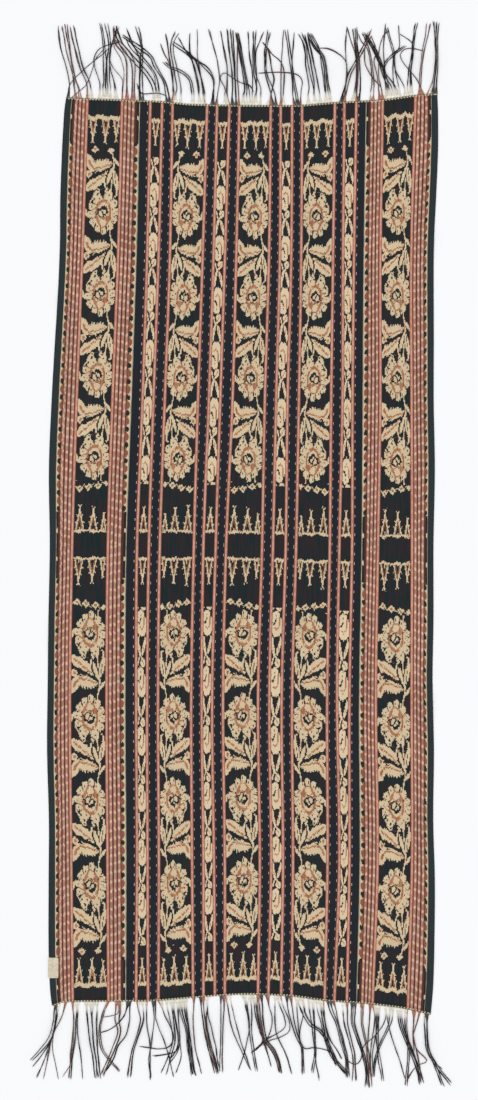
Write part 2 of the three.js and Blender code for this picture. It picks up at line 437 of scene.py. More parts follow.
NARROW_UNIT_CHART = (
    ("pale", "leaf", (((4.4, -2.4), (4.4, 25.0)), (5.4,))),
    ("pale", "oval",
     (((4.3, 13.4),), (4.7, 9.4)),
     (((2.7, 21.4),), (2.8, 4.1))),
    ("dark", "wedge", (((8.8, 26.4), (7.2, 18.4)), (2.5, 0.3))),
    ("rust", "line", (((2.2, 8.8), (4.2, 6.4), (6.3, 8.8), (6.9, 13), (6.7, 18.4)), (0.6, 0.6))),
    ("dark", "line", (((1.2, 13.6), (1.9, 12.8), (3.6, 17.6)), (0.9, 0.6))),
    ("dark", "oval", (((3.4, 20.6),), (0.4, 0.9))),
    ("pale", "oval", (((5.9, 29),), (2.7, 3.9))),
    ("rust", "line", (((5.0, 30.8), (6.8, 27.4)), (0.5, 0.4))),
    ("pale", "line",
     (((0.4, 28), (1.7, 33.6), (3.6, 36.8)), (0.6, 0.6)),
     (((5.4, 31.8), (3.8, 34.2), (2.2, 36.8)), (0.6, 0.6))),
    ("pale", "leaf",
     (((2.4, 35.0), (0.5, 52.6)), (1.6,)),
     (((5.0, 35.0), (8.3, 52.6)), (1.75,))),
    ("dark", "wedge",
     (((3.8, 38.0), (4.1, 47.6)), (0.3, 2.7)),
     (((4.1, 47.4), (4.4, 52.0)), (2.7, 3.3))),
    ("rust", "line",
     (((1.6, 40.4), (1.4, 42.4)), (0.4, 0.4)),
     (((6.4, 40), (6.7, 43.4)), (0.45, 0.4))),
)
NARROW_MIDDLE_CHART = (
    ("pale", "line", (((0, 14.2), (4.5, 12.8), (9, 14)), (1.0, 1.0))),
    *tumpal(4.5, 13.4, 3.7, 23.5, 1),
)
NARROW_END_CHART = (
    ("pale", "line", (((0, 36.6), (4.5, 36), (9, 37)), (1.9, 1.9))),
    *tumpal(4.5, 36.4, 3.8, 24, -1),
)

# The two rows of turns in the twined edging, from its outer line inwards
EDGING = (
    # distance from the outer line, slant, finish, height, half sizes of a turn
    (1.3, 0.35, 4, 1.2, (3.4, 1.1, 0.8)),
    (3.0, -0.3, 3, 1.7, (2.3, 1.15, 0.95)),
)

# Fringe strands, a row for each bunch, in small rows and columns from the cloth's middle
TOP_BUNCHES = (
    # count of strands, then across, along and half spread at each bend from the root to the tip
    (2, (-175, 458.5, 0.8), (-173.5, 470, 0.5), (-177.5, 490, 0.6), (-183, 510, 0.6), (-184.5, 528, 0.8)),
    (4, (-165, 459, 3.6), (-168, 474, 1), (-173.5, 498, 1.6), (-177, 515.5, 1.6), (-179.5, 529.5, 1.8)),
    (2, (-168, 459, 0.8), (-170.5, 485, 0.6), (-173, 505.5, 0.6), (-176, 532, 0.8)),
    (6, (-153, 458.5, 3.3), (-155, 471.5, 1.8), (-161, 486, 1.6), (-165.5, 503, 1.9), (-171, 528, 2)),
    (1, (-176, 459, 0), (-172.5, 471, 0), (-158, 486, 0), (-149, 494, 0), (-140, 501.5, 0), (-135, 506.5, 0)),
    (1, (-172.5, 458.5, 0), (-164, 463.5, 0), (-156.5, 470, 0), (-151, 485, 0), (-148, 495, 0), (-140, 505, 0)),
    (2, (-144.5, 459.5, 0.8), (-143, 471, 0.5), (-148, 486.5, 0.4), (-149, 496.5, 0.4), (-144, 505.5, 0.4),
     (-135, 510, 0.5), (-124, 512.5, 0.6)),
    (4, (-138, 459.5, 3.2), (-137.5, 475, 2), (-138.5, 495, 1.6), (-139, 509, 1), (-142.5, 531.5, 1)),
    (5, (-135, 459.5, 3.4), (-135.5, 475, 2), (-134.5, 495, 1.6), (-133, 509, 1), (-136.5, 530.5, 1.8)),
    (3, (-127, 459, 2), (-128.5, 471, 1.2), (-132, 483.5, 1), (-133.5, 496.5, 0.8), (-131.5, 510, 0.8),
     (-126.5, 524, 1.2), (-126, 529.5, 2)),
    (1, (-121, 458.5, 0), (-120.5, 475, 0), (-131, 489, 0), (-133.5, 501.5, 0), (-130, 515, 0)),
    (1, (-120.5, 458.5, 0), (-119, 481.5, 0), (-122.5, 496.5, 0), (-129, 510, 0), (-124, 528, 0)),
    (3, (-116, 459, 1.6), (-116, 476.5, 1.2), (-116.5, 493, 1.2), (-120, 501.5, 1.2), (-127.5, 511.5, 1),
     (-130, 528, 1.4)),
    (4, (-110, 459, 2), (-109.5, 472.5, 1.2), (-110, 490, 1.6), (-116, 504, 1.6), (-124, 512.5, 1.2),
     (-129, 518, 1.4)),
    (4, (-101, 456, 1.8), (-102, 472.5, 1.4), (-102, 493, 1.2), (-101, 507.5, 0.8), (-106, 528, 1.4)),
    (3, (-105, 456, 1.5), (-103.5, 474, 1), (-102.5, 493, 1), (-110, 510, 0.8), (-116, 525.5, 1)),
    (6, (-87.5, 457, 3), (-89.5, 468.5, 1.8), (-97, 481.5, 1.6), (-106, 491.5, 2), (-116, 503, 2.2),
     (-122.5, 511.5, 1.6), (-128, 528, 1.4)),
    (6, (-74.5, 454.5, 2.2), (-78.5, 472.5, 1), (-88.5, 490, 1.2), (-92, 498, 1), (-101, 505.5, 1.6),
     (-112, 513, 1.2), (-120, 519, 1)),
    (4, (-84.5, 457, 2), (-87.5, 478.5, 1), (-93.5, 488.5, 1.2), (-101, 496.5, 1.5), (-111, 508, 1.5),
     (-116, 516, 1.2)),
    (2, (-75.5, 454, 0.5), (-77, 458.5, 0.4), (-82, 461, 0.4), (-89.5, 461.5, 0.4), (-99.5, 461, 0.4),
     (-103.5, 464, 0.4), (-106, 471, 0.4)),
    (5, (-66, 451, 4), (-64, 467, 2), (-67.5, 485.5, 1.8), (-71, 505, 1.4), (-70, 515, 1.2), (-66.5, 522, 2)),
    (2, (-70, 452.5, 1.5), (-70.5, 480, 0.8), (-74.5, 493, 0.8), (-79, 502, 0.8), (-82.5, 510.5, 0.6)),
    (3, (-68, 452, 2), (-71.5, 483, 1.2), (-74, 500, 1), (-77, 522, 1.8)),
    (4, (-50, 450.5, 1.5), (-50.5, 464.5, 1.2), (-54, 477, 1.2), (-64.5, 484.5, 1.1), (-73, 487.5, 1), (-79, 493, 1)),
    (6, (-41.5, 451, 4), (-41.5, 466.5, 2.3), (-45, 481, 1.8), (-51, 497, 1.4), (-63.5, 507.5, 1.3), (-70, 512, 1.2)),
    (2, (-39, 451, 2), (-41, 470, 1.4), (-43.5, 483.5, 1), (-46, 503, 0.6), (-45.5, 525, 0.6)),
    (2, (-43, 451, 2), (-46, 475, 1.4), (-51, 495, 1.2), (-53.5, 505, 0.8), (-53, 521.5, 0.6)),
    (3, (-30, 449.5, 1), (-29, 465, 0.8), (-31, 478, 0.7), (-40, 488, 0.7), (-44.5, 493, 0.7),
     (-54, 500, 0.7), (-65, 518, 0.8)),
    (2, (-27, 451, 1), (-23.5, 476, 0.7), (-26, 495, 0.5), (-30, 509.5, 0.5), (-34, 525, 0.5)),
    (2, (-31, 451, 0.8), (-29, 474, 0.6), (-34.5, 486.5, 0.6), (-44.5, 494, 0.5), (-54, 502, 0.5)),
    (3, (-16, 451, 3), (-16.1, 466.5, 2), (-16, 486, 1.5), (-17.5, 498, 1.4), (-22.5, 524, 1.4)),
    (2, (-19.1, 451, 0.5), (-18, 466, 0.4), (-23, 477, 0.4), (-18.5, 482, 0.4), (-11, 477, 0.5),
     (-1, 472, 0.6), (6.5, 469.5, 0.6), (9.8, 463.5, 0.5)),
    (5, (-9, 450, 2.6), (-9, 467, 1.7), (-10, 485, 1.4), (-12.5, 505, 1.5), (-14, 526, 1.8)),
    (5, (-5.5, 450, 2), (-7, 480, 1.4), (-7.5, 500, 1.5), (-8, 524, 2.4)),
    (7, (3, 450.5, 4.6), (3.8, 466, 2.3), (0.5, 485, 1.4), (-2.6, 503, 1.3), (-6, 522, 1.5)),
    (5, (14, 450, 4), (15.5, 466, 1.9), (11, 484, 1), (11, 503, 0.9), (11.7, 524, 1.6)),
    (2, (9, 450.5, 1), (9.5, 480, 0.6), (6.6, 497, 0.5), (5, 524, 0.6)),
    (2, (13, 450, 1), (13.5, 475, 0.6), (13, 503, 0.5), (17, 514, 0.6), (20.5, 523, 0.6)),
    (5, (31.5, 449, 2.6), (29.5, 462, 2), (23, 482, 1), (22.5, 503, 0.8), (26, 524, 1.2)),
    (3, (25, 449.5, 2), (31, 475, 1), (29, 484, 0.8), (25, 505, 0.7), (19.5, 513, 1)),
    (3, (40, 449.5, 1.4), (41, 482, 0.8), (38, 493, 0.8), (28.5, 501, 0.6), (23.5, 508, 0.6)),
    (2, (38, 449.5, 1), (38, 480, 0.6), (39, 500, 0.5), (40.5, 524, 0.6)),
    (4, (53.5, 450, 3), (51, 470, 1.6), (48, 493, 1), (46, 505, 1), (43.5, 524, 1.4)),
    (2, (54, 450, 1), (49.5, 480, 0.8), (49.5, 500, 0.6), (51.5, 523, 0.5)),
    (2, (57.5, 450.5, 0.5), (58, 463, 0.4), (59, 474, 0.4), (54.5, 480, 0.4), (45.5, 482, 0.6),
     (32.5, 482.5, 0.8), (16, 481.5, 1)),
    (5, (67.5, 451, 4), (68, 467, 2.4), (64, 489, 1.4), (62, 510, 1.2), (57, 521.5, 1.8)),
    (7, (85.5, 453.5, 3), (84, 470, 1.6), (80.5, 497, 1.4), (73, 507, 1.5), (67.5, 517, 1.6), (66, 521.5, 1.8)),
    (2, (83, 453, 1.5), (79, 485, 1), (75.5, 508, 0.6), (69, 521, 0.6)),
    (6, (75, 452.5, 4), (73, 470, 2.3), (69, 493, 1.5), (66, 507, 1.3), (63, 520, 1.5)),
    (3, (101, 453, 1.4), (103.5, 480.5, 0.8), (102.5, 493, 0.6), (95.5, 501, 0.6), (85, 506.5, 0.7), (76, 506.5, 1)),
    (6, (99, 453, 2), (103.5, 469, 1.4), (107, 481, 1.3), (113.5, 494, 1.2), (120.5, 507, 1.2), (127, 521, 2)),
    (2, (98.5, 453, 0.6), (104.5, 480, 0.5), (103, 495, 0.4), (102.5, 510, 0.4), (103.5, 527, 0.4)),
    (3, (113, 454, 2), (114, 480, 1.2), (112.5, 498, 0.8), (109, 511, 0.6), (104, 527.5, 0.6)),
    (8, (111.5, 454, 5), (114.5, 467, 2.8), (115, 493, 1.6), (113, 509, 1.2), (112, 526.5, 2.4)),
    (2, (139, 454.5, 0.6), (138, 467, 0.6), (129.5, 477, 0.6), (122.5, 489.5, 0.5), (121.5, 504.5, 0.5),
     (124, 514, 0.7), (128, 525, 1)),
    (4, (128.5, 454.5, 2.4), (130, 472, 1), (128.5, 489.5, 0.9), (125, 506, 1.1), (120, 515, 1.8), (118, 521, 2.4)),
    (3, (137, 454.5, 1.4), (134, 480, 0.8), (131, 493, 0.7), (133, 505, 0.7), (128, 519, 1.2)),
    (9, (151, 458, 6), (148, 468.5, 3.6), (141, 480.5, 1.8), (138, 490, 1.4), (133, 502, 1.4),
     (126, 513.5, 1.4), (121, 521, 1.5)),
    (4, (147.5, 458, 2), (143, 473, 1.3), (141, 487, 0.9), (144, 494, 0.9), (152, 502, 0.9), (162, 508.5, 0.8)),
    (2, (143, 457, 1), (141.5, 485, 0.6), (140.5, 507, 0.6), (142.5, 531.5, 0.6)),
    (4, (155, 459, 3), (151, 483, 1.3), (150.5, 500, 0.9), (146, 519, 0.9), (143, 528, 1.2)),
    (2, (140, 456, 1), (135.5, 480, 0.6), (136, 505, 0.6), (140, 519, 0.6), (145, 524, 0.6)),
    (2, (162, 460.5, 1), (160.5, 469, 0.6), (152, 485, 0.6), (151, 498, 0.6), (156, 508, 0.6),
     (156, 522, 0.5), (155.5, 529.5, 0.4)),
    (2, (169, 461.5, 0.6), (168, 485, 0.6), (170, 507, 0.5), (168, 513, 0.5), (156.5, 521, 0.5)),
    (4, (165.5, 461, 2), (166.5, 483, 1), (169.5, 503, 0.8), (170.5, 515, 0.8), (173.5, 531.5, 0.9)),
    (2, (180.5, 462.5, 0.5), (173.5, 476, 0.4), (161, 491, 0.4), (157.5, 500, 0.4), (161.5, 505.5, 0.4),
     (169.5, 506.5, 0.4), (179.5, 504, 0.4)),
    (4, (176.5, 462, 1.4), (177.5, 480.5, 0.7), (179.5, 498.5, 0.8), (183, 517, 1.1), (185.5, 530.5, 1.9)),
    (8, (189, 463.5, 5), (191.5, 475, 2.2), (193.5, 493, 1.5), (193, 515, 1.2), (193.5, 533.5, 3)),
)
BOTTOM_BUNCHES = (
    # count of strands, then across, along and half spread at each bend from the root to the tip
    (4, (-186, -449, 2), (-188, -465, 1.4), (-193, -483, 1.3), (-203, -496, 1.1), (-211.5, -505, 1.2)),
    (3, (-185, -449, 2), (-187, -465, 1.4), (-192, -485, 1.2), (-201, -500, 1.1), (-210, -511, 1.4)),
    (2, (-185, -448.5, 1), (-188, -470, 0.8), (-195, -495, 0.8), (-202, -513, 0.8), (-207, -524, 1)),
    (2, (-177, -447, 0.6), (-181, -461, 0.6), (-190, -480, 0.6), (-195, -500, 0.8), (-199, -523, 0.6)),
    (1, (-186, -449, 0), (-189, -475, 0), (-190.5, -493, 0), (-188, -507, 0), (-184.5, -524, 0)),
    (5, (-168.5, -447, 2.2), (-168, -463, 1.4), (-169, -481, 1.5), (-171.5, -502, 1.1), (-173, -523, 1)),
    (1, (-170, -447, 0), (-169.5, -475, 0), (-172.5, -507, 0), (-180, -522, 0)),
    (2, (-165, -447, 0.6), (-165.5, -477, 0.4), (-162.5, -500, 0.4), (-160, -524, 0.5)),
    (6, (-155, -447.5, 3), (-153.5, -461, 2.4), (-151.5, -485, 1.9), (-148.5, -507, 1.4), (-146, -522, 1.8)),
    (6, (-148, -447.5, 3), (-148.5, -463, 2.4), (-147.5, -490, 1.9), (-145.5, -507, 1.5), (-144, -523, 1.6)),
    (4, (-135, -448, 1.4), (-140, -459, 0.8), (-143, -475, 0.8), (-141.5, -492, 0.9), (-135, -503, 0.9),
     (-124, -516, 0.8)),
    (5, (-124, -448, 3), (-126, -465, 2), (-124, -477, 1.5), (-130, -495, 1.4), (-138, -513, 1.1),
     (-140.5, -520, 1.2)),
    (3, (-114, -447.5, 2), (-119, -461, 0.9), (-127, -470, 0.8), (-134, -475, 0.7), (-141.5, -477.5, 0.6)),
    (1, (-125, -448, 0), (-125, -458, 0), (-131, -460.5, 0), (-140, -462, 0)),
    (3, (-113, -447.5, 0.8), (-113.5, -463, 0.6), (-117, -480, 0.6), (-125, -491, 0.8), (-130, -505, 0.9),
     (-139, -518, 0.8)),
    (6, (-103, -447, 3), (-101, -465, 1.5), (-106, -482, 1), (-110.5, -497, 1), (-114, -522, 1.6)),
    (3, (-97, -447, 1), (-96, -472, 0.6), (-93, -490, 0.5), (-93, -524, 1)),
    (2, (-90, -446.5, 1), (-89, -463, 0.6), (-91.5, -487, 0.5), (-94, -505, 0.5), (-92, -523, 0.8)),
    (2, (-88, -446.5, 0.6), (-87, -465, 0.4), (-78.5, -487, 0.4), (-74.5, -500, 0.4), (-69.5, -521, 0.5)),
    (3, (-83, -446.5, 2.2), (-78, -461, 1.4), (-72, -473, 1.2), (-69.5, -483, 1), (-74, -491.5, 0.8),
     (-84, -494, 0.6), (-95, -492.5, 0.7), (-103, -491.5, 0.6)),
    (3, (-71, -446, 3), (-67, -465, 1.8), (-65, -481, 1.3), (-66, -495, 1.1), (-75, -499, 0.8), (-89.5, -501, 1.2)),
    (4, (-75, -446, 3), (-71, -467, 1.8), (-69, -485, 1.3), (-73, -500, 1.3), (-79, -518, 3)),
    (10, (-61, -445, 5), (-59, -459, 3.2), (-56, -473, 1.9), (-53.5, -493, 1.9), (-51, -511, 1.8), (-49, -520, 2.2)),
    (4, (-68, -445.5, 3), (-66, -467, 1.5), (-64, -485, 1.1), (-67, -497, 1), (-73, -506, 1)),
    (2, (-66, -445.5, 1), (-63, -487, 0.6), (-62.5, -503, 0.5), (-67, -518, 0.6)),
    (3, (-49, -444.5, 0.9), (-50, -463, 0.6), (-49, -483, 0.6), (-47, -497, 0.6), (-41.5, -519, 0.6)),
    (9, (-39.5, -444, 4), (-38.5, -463, 2), (-35, -485, 1.9), (-31, -501, 1.9), (-26.5, -518, 2)),
    (2, (-36, -444, 1), (-35, -460, 0.8), (-31, -475, 0.8), (-27, -493, 0.8), (-24.5, -511, 0.8)),
    (5, (-20.5, -443, 2), (-21, -467, 1.3), (-21.5, -490, 1), (-22, -503, 1.1), (-21.5, -518, 1.5)),
    (2, (-17, -443, 0.6), (-12, -470, 0.5), (-4, -491, 0.5), (7, -514, 0.6)),
    (2, (-13.5, -442.5, 0.6), (-6, -473, 0.5), (0, -493, 0.5), (8, -515, 0.6)),
    (3, (2, -442, 4.6), (5, -457, 2.6), (6.5, -471, 1.5), (4, -485, 0.9), (1.5, -497, 0.6), (-4.5, -514, 0.6)),
    (4, (4, -442, 4), (6.5, -460, 2.2), (7.5, -475, 1.3), (10, -495, 1), (13.5, -516, 0.8)),
    (3, (11, -442, 2), (12, -459, 1.3), (17, -477, 1), (19.5, -486, 0.9), (14, -493, 0.8), (7.5, -498.5, 0.6)),
    (8, (15.5, -442, 4), (18, -467, 2.2), (22.5, -485, 1.5), (30, -495, 1.5), (35.5, -508, 1.2), (37.5, -518, 1.2)),
    (3, (13, -442, 1.5), (19, -480, 1.1), (24, -497, 1), (28, -511, 1.8)),
    (3, (24, -442.5, 1.6), (29, -463, 0.9), (27, -477, 0.9), (22, -486, 0.8), (12, -496, 0.8)),
    (2, (33.5, -443, 0.6), (41.5, -462, 0.5), (42, -472, 0.5), (33, -479, 0.5), (25.5, -483, 0.5), (14, -494, 0.5)),
    (2, (36.5, -443, 0.6), (46, -465, 0.5), (46, -476, 0.5), (37, -482.5, 0.5), (26.5, -485.5, 0.5), (19, -491, 0.5)),
    (3, (32, -443, 0.8), (32, -468, 0.6), (34, -481, 0.6), (42, -497, 0.6), (48.5, -518, 0.9)),
    (6, (45.5, -443.5, 3), (49.5, -466, 1.5), (54.5, -483, 1.1), (59, -493, 0.8), (60, -519.5, 0.9)),
    (2, (53, -444, 1.4), (60, -459, 0.8), (57.5, -473, 0.6), (56.5, -485, 0.5), (59, -497, 0.5)),
    (5, (57, -444.5, 3), (61, -459, 1.5), (67.5, -469.5, 1.3), (76.5, -475.5, 1.1), (86, -490, 1.1),
     (94.5, -510.5, 1.2)),
    (2, (53, -444, 0.6), (57, -485, 0.5), (62, -493.5, 0.5), (70.5, -492.5, 0.5), (83, -495, 0.5), (92, -500, 0.5)),
    (4, (67.5, -444.5, 3), (69, -459, 2), (71, -479.5, 1), (72, -498, 0.9), (69.5, -517, 1)),
    (2, (69.5, -444.5, 1), (71.5, -479.5, 0.5), (72, -498, 0.5), (76, -524.5, 0.5)),
    (7, (76.5, -446, 4), (79.5, -465.5, 2.2), (84, -486.5, 1.9), (90, -502.5, 1.5), (104, -518.5, 1.4)),
    (3, (77.5, -446, 2), (86, -482.5, 1.1), (94.5, -496, 0.9), (98.5, -503.5, 0.9)),
    (7, (87.5, -446.5, 4), (93.5, -466, 1.7), (99, -485.5, 1.5), (103.5, -504, 1.3), (105, -521.5, 1.8)),
    (5, (101.5, -448, 3), (103, -468.5, 1.7), (108, -488, 1.3), (111, -504, 1.2), (111, -526, 2)),
    (2, (142, -453, 0.6), (142, -465, 0.5), (133, -479.5, 0.5), (121, -491, 0.5), (118.5, -502.5, 0.5),
     (114, -509, 0.5), (107.5, -508, 0.5), (103, -503.5, 0.5)),
    (7, (110.5, -448.5, 2.4), (110, -467.5, 1.5), (115, -483.5, 1.3), (120, -498.5, 1.2), (124, -518.5, 1.2),
     (124, -531.5, 1.8)),
    (4, (119, -449, 1.2), (119, -468.5, 0.8), (124, -493.5, 0.9), (126.5, -515.5, 1), (127.5, -531.5, 1.2)),
    (3, (127.5, -450, 1), (124.5, -488, 0.8), (124, -502, 0.8), (128.5, -521, 1)),
    (4, (132, -451, 2.6), (133.5, -464, 1.7), (128.5, -497, 1.1), (129, -521, 1.1)),
    (4, (135, -451.5, 1.6), (134, -472, 1.1), (135, -495, 1), (140, -525, 1.3)),
    (4, (148.5, -453.5, 2), (147, -468.5, 1.3), (136.5, -491.5, 1.1), (132, -505.5, 0.8), (130.5, -522, 0.7)),
    (2, (142, -452.5, 0.8), (147.5, -477.5, 0.5), (154.5, -500, 0.5), (162.5, -524.5, 0.5)),
    (9, (155.5, -455, 2.4), (159, -473, 1.7), (167, -493, 1.5), (174, -511, 1.5), (178.5, -528, 2.2)),
    (4, (163, -456, 1.4), (163, -471.5, 1), (165.5, -496.5, 0.8), (163, -530, 1.3)),
    (2, (171, -457, 0.6), (170, -483, 0.5), (174.5, -495, 0.5), (183.5, -504, 0.4), (184, -507, 0.4),
     (177, -509.5, 0.4), (171, -514, 0.4), (164, -525.5, 0.4)),
    (3, (171, -457, 1.4), (170, -477, 1), (172.5, -491.5, 0.8), (176, -508.5, 0.8), (178, -524, 0.9)),
    (2, (176.5, -458, 0.6), (172.5, -471.5, 0.5), (170, -481.5, 0.5), (171.5, -495, 0.5)),
    (4, (182.5, -459, 1.8), (183, -477, 1.2), (185, -495, 1.3), (191, -508, 1.1), (200, -531, 1)),
    (4, (183, -459, 1.8), (183, -477, 1.2), (185, -495, 1.3), (192.5, -509, 1.1), (201.5, -521, 1),
     (208, -529.5, 1.2)),
    (1, (183.5, -459, 0), (185, -495, 0), (192.5, -508, 0), (199.5, -514.5, 0)),
)


def dyed(red, green, blue):
    """Linear colour of a dye from its red, green and blue as a screen shows them."""
    def linear(c):
        c /= 255
        return c / 12.92 if c <= 0.04045 else ((c + 0.055) / 1.055) ** 2.4
    return (linear(red), linear(green), linear(blue))


class IkatDyes(bpy.types.PropertyGroup):
    """Colours of the cloth, its fringes and its label."""
    ground: FloatVectorProperty(
        name="Ground", description="Dark ground of the flower bands", subtype="COLOR", default=dyed(29, 34, 35))
    navy: FloatVectorProperty(
        name="Navy", description="Plain indigo stripes", subtype="COLOR", default=dyed(17, 35, 44))
    green: FloatVectorProperty(
        name="Selvedge", description="Dark green strips along both selvedges", subtype="COLOR",
        default=dyed(42, 53, 54))
    pale: FloatVectorProperty(
        name="Pale", description="Undyed warp that draws the flowers", subtype="COLOR", default=dyed(225, 208, 173))
    tan: FloatVectorProperty(
        name="Tan", description="Slightly stained warp within the pale shapes", subtype="COLOR",
        default=dyed(201, 180, 143))
    rust: FloatVectorProperty(
        name="Rust", description="Rust details within the flowers", subtype="COLOR", default=dyed(160, 90, 56))
    brown: FloatVectorProperty(
        name="Brown", description="Dark red brown lines between the dashes", subtype="COLOR",
        default=dyed(88, 46, 38))
    salmon: FloatVectorProperty(
        name="Salmon", description="Salmon stripes", subtype="COLOR", default=dyed(184, 116, 96))
    rose: FloatVectorProperty(
        name="Rose", description="Rose ground of the dashed columns", subtype="COLOR", default=dyed(171, 117, 98))
    fringe: FloatVectorProperty(
        name="Fringe", description="Dark fringe strands", subtype="COLOR", default=dyed(32, 29, 31))
    bead: FloatVectorProperty(
        name="Edging", description="Pale turns of the twined edging", subtype="COLOR", default=dyed(226, 218, 180))
    label: FloatVectorProperty(
        name="Label", description="Plain woven label", subtype="COLOR", default=dyed(228, 218, 198))


class IkatSizes(bpy.types.PropertyGroup):
    """Sizes of the threads, the strands and the relief."""
    row_spacing: FloatProperty(
        name="Row spacing", description="Distance between two rows of the cloth's mesh", subtype="DISTANCE",
        unit="LENGTH", default=0.0135, min=0.006, max=0.03)
    warp_pitch: FloatProperty(
        name="Warp pitch", description="Distance between two warp threads", subtype="DISTANCE", unit="LENGTH",
        default=0.0009, min=0.0004, max=0.002)
    weft_pitch: FloatProperty(
        name="Weft pitch", description="Distance between two weft threads", subtype="DISTANCE", unit="LENGTH",
        default=0.0013, min=0.0004, max=0.004)
    strand_radius: FloatProperty(
        name="Strand radius", description="Radius of a twisted fringe strand", subtype="DISTANCE", unit="LENGTH",
        default=0.00074, min=0.0004, max=0.002)
    strand_turns: FloatProperty(
        name="Strand twist", description="Turns of the two plies in one strand", default=9.0, min=0.0, max=30.0)
    strand_steps: IntProperty(
        name="Strand steps", description="Rings of vertices along one strand", default=26, min=8, max=40)
    bead_pitch: FloatProperty(
        name="Edging pitch", description="Distance between two turns of the twined edging", subtype="DISTANCE",
        unit="LENGTH", default=0.0066, min=0.002, max=0.01)


class IkatStage(bpy.types.PropertyGroup):
    """Floor, light and camera."""
    camera_height: FloatProperty(
        name="Camera height", description="Height of the camera above the floor", subtype="DISTANCE",
        unit="LENGTH", default=5.714, min=1.0, max=20.0)
    lens: FloatProperty(
        name="Lens", description="Focal length of the camera", unit="CAMERA", default=85.0, min=20.0, max=200.0)
    floor: FloatVectorProperty(
        name="Floor", description="Pale studio floor", subtype="COLOR", default=(0.955, 0.96, 0.98))
    daylight: FloatProperty(
        name="Surrounding light", description="Strength of the even light from all sides", default=0.81, min=0, max=3)
    sun: FloatProperty(
        name="Soft lamp", description="Strength of the broad soft lamp", default=0.765, min=0, max=6)


def along(table, column, place):
    """Value of one column of a table at a place, as a smooth curve through its rows."""
    rows = np.asarray(table, float)
    at, value = rows[:, 0], rows[:, column]
    slope = np.empty(len(at))
    slope[1:-1] = (value[2:] - value[:-2]) / (at[2:] - at[:-2])
    slope[0] = (value[1] - value[0]) / (at[1] - at[0])
    slope[-1] = (value[-1] - value[-2]) / (at[-1] - at[-2])
    i = np.clip(np.searchsorted(at, place, side="left") - 1, 0, len(at) - 2)
    span = at[i + 1] - at[i]
    u = np.clip((place - at[i]) / span, 0, 1)
    h = u * u * (3 - 2 * u)
    bend = u * (1 - u) * (1 - u) * slope[i] - u * u * (1 - u) * slope[i + 1]
    return value[i] + (value[i + 1] - value[i]) * h + span * bend


def lift(x, y):
    """Height of the cloth's underside above the surface."""
    z = np.zeros(np.broadcast(x, y).shape)
    for across, length, wide, long, high in RIPPLES:
        far = np.minimum(np.hypot((x - across) / wide, (y - length) / long), 1)
        z += high * (0.5 + 0.5 * np.cos(math.pi * far))
    return z


def crosswise(share, y):
    """Place across the cloth from a share of its width."""
    left = along(SELVEDGE, 1, y)
    return left + (along(SELVEDGE, 2, y) - left) * share


def salmon_table():
    """Salmon centre lines as rows by distance along, carried on straight past both ends."""
    rows = [(place, *line) for place, line in zip(SALMON_PLACES, zip(*SALMON_LINES))]
    reach = 70.0

    def onward(end, inner):
        share = reach / abs(end[0] - inner[0])
        return tuple(a + (a - b) * share for a, b in zip(end, inner))

    return (onward(*rows[:2]), *rows, onward(*rows[:-3:-1]))


SALMON_TABLE = salmon_table()


def border(index, y):
    """Borders of the salmon stripes and the two selvedges, counted from the left."""
    last = 2 * len(SALMON_LINES) + 1
    if index == 0:
        return along(SELVEDGE, 1, y)
    if index == last:
        return along(SELVEDGE, 2, y)
    centre = along(SALMON_TABLE, (index + 1) // 2, y)
    return centre + (SALMON_HALF if index % 2 == 0 else -SALMON_HALF)


def row_place(share, row):
    """Distance along the cloth of a row that is counted outwards from the middle."""
    end = np.where(row < 0, along(ENDS, 1, share), along(ENDS, 2, share))
    middle = along(ENDS, 3, share)
    far = np.abs(row) + np.where(row < 0, 1.0, 0.0) * along(LOWER_BOW, 1, np.abs(row))
    return middle + (end - middle) * far / HALF_ROWS


# Mesh pieces

def piece_from(name, points, faces, finishes, picks=None):
    """Smooth mesh object from points in the cloth's millimetres."""
    place = np.asarray(points, float) * MM
    place[:, 0] += MIDDLE_AT[0] * MM
    place[:, 1] += MIDDLE_AT[1] * MM
    mesh = bpy.data.meshes.new(name)
    mesh.from_pydata(place.tolist(), [], faces)
    for finish in finishes:
        mesh.materials.append(finish)
    if picks is not None:
        mesh.polygons.foreach_set("material_index", picks)
    mesh.shade_smooth()
    mesh.update()
    made = bpy.data.objects.new(name, mesh)
    bpy.context.scene.collection.objects.link(made)
    return made


def lay_map(mesh, name, values):
    """UV map from one value pair for each face corner."""
    layer = mesh.uv_layers.new(name=name)
    layer.data.foreach_set("uv", np.asarray(values, np.float32).ravel())


def two_faces(x, y, high, low):
    """Points of an upper face and then of the face under it."""
    return np.concatenate([np.stack([x.ravel(), y.ravel(), z.ravel()], 1) for z in (high, low)])


def stripe_columns():
    """Columns of the mesh and the stripes between them, from left to right."""
    columns = [(0, 0.0)]
    strips = []

    def stripe(kind, gap, start, stop, from_right):
        count, left, middle, right, finish = STRIPES[kind]
        if from_right:
            left, right = right, left
        for k in range(count):
            a, b = k / count, (k + 1) / count
            values = [np.interp(v, (0, 0.5, 1), (left, middle, right)) for v in (a, b)]
            columns.append((gap, start + (stop - start) * b))
            strips.append((finish, values[0], values[1]))

    for number, (stripes, from_right) in enumerate(GAPS):
        if from_right:
            stripes = [(kind, 1 - stop, 1 - start) for kind, start, stop in reversed(stripes)]
        for kind, start, stop in stripes:
            stripe(kind, 2 * number, start, stop, from_right)
        if number < len(GAPS) - 1:
            stripe("salmon", 2 * number + 1, 0.0, 1.0, False)
    return columns, strips


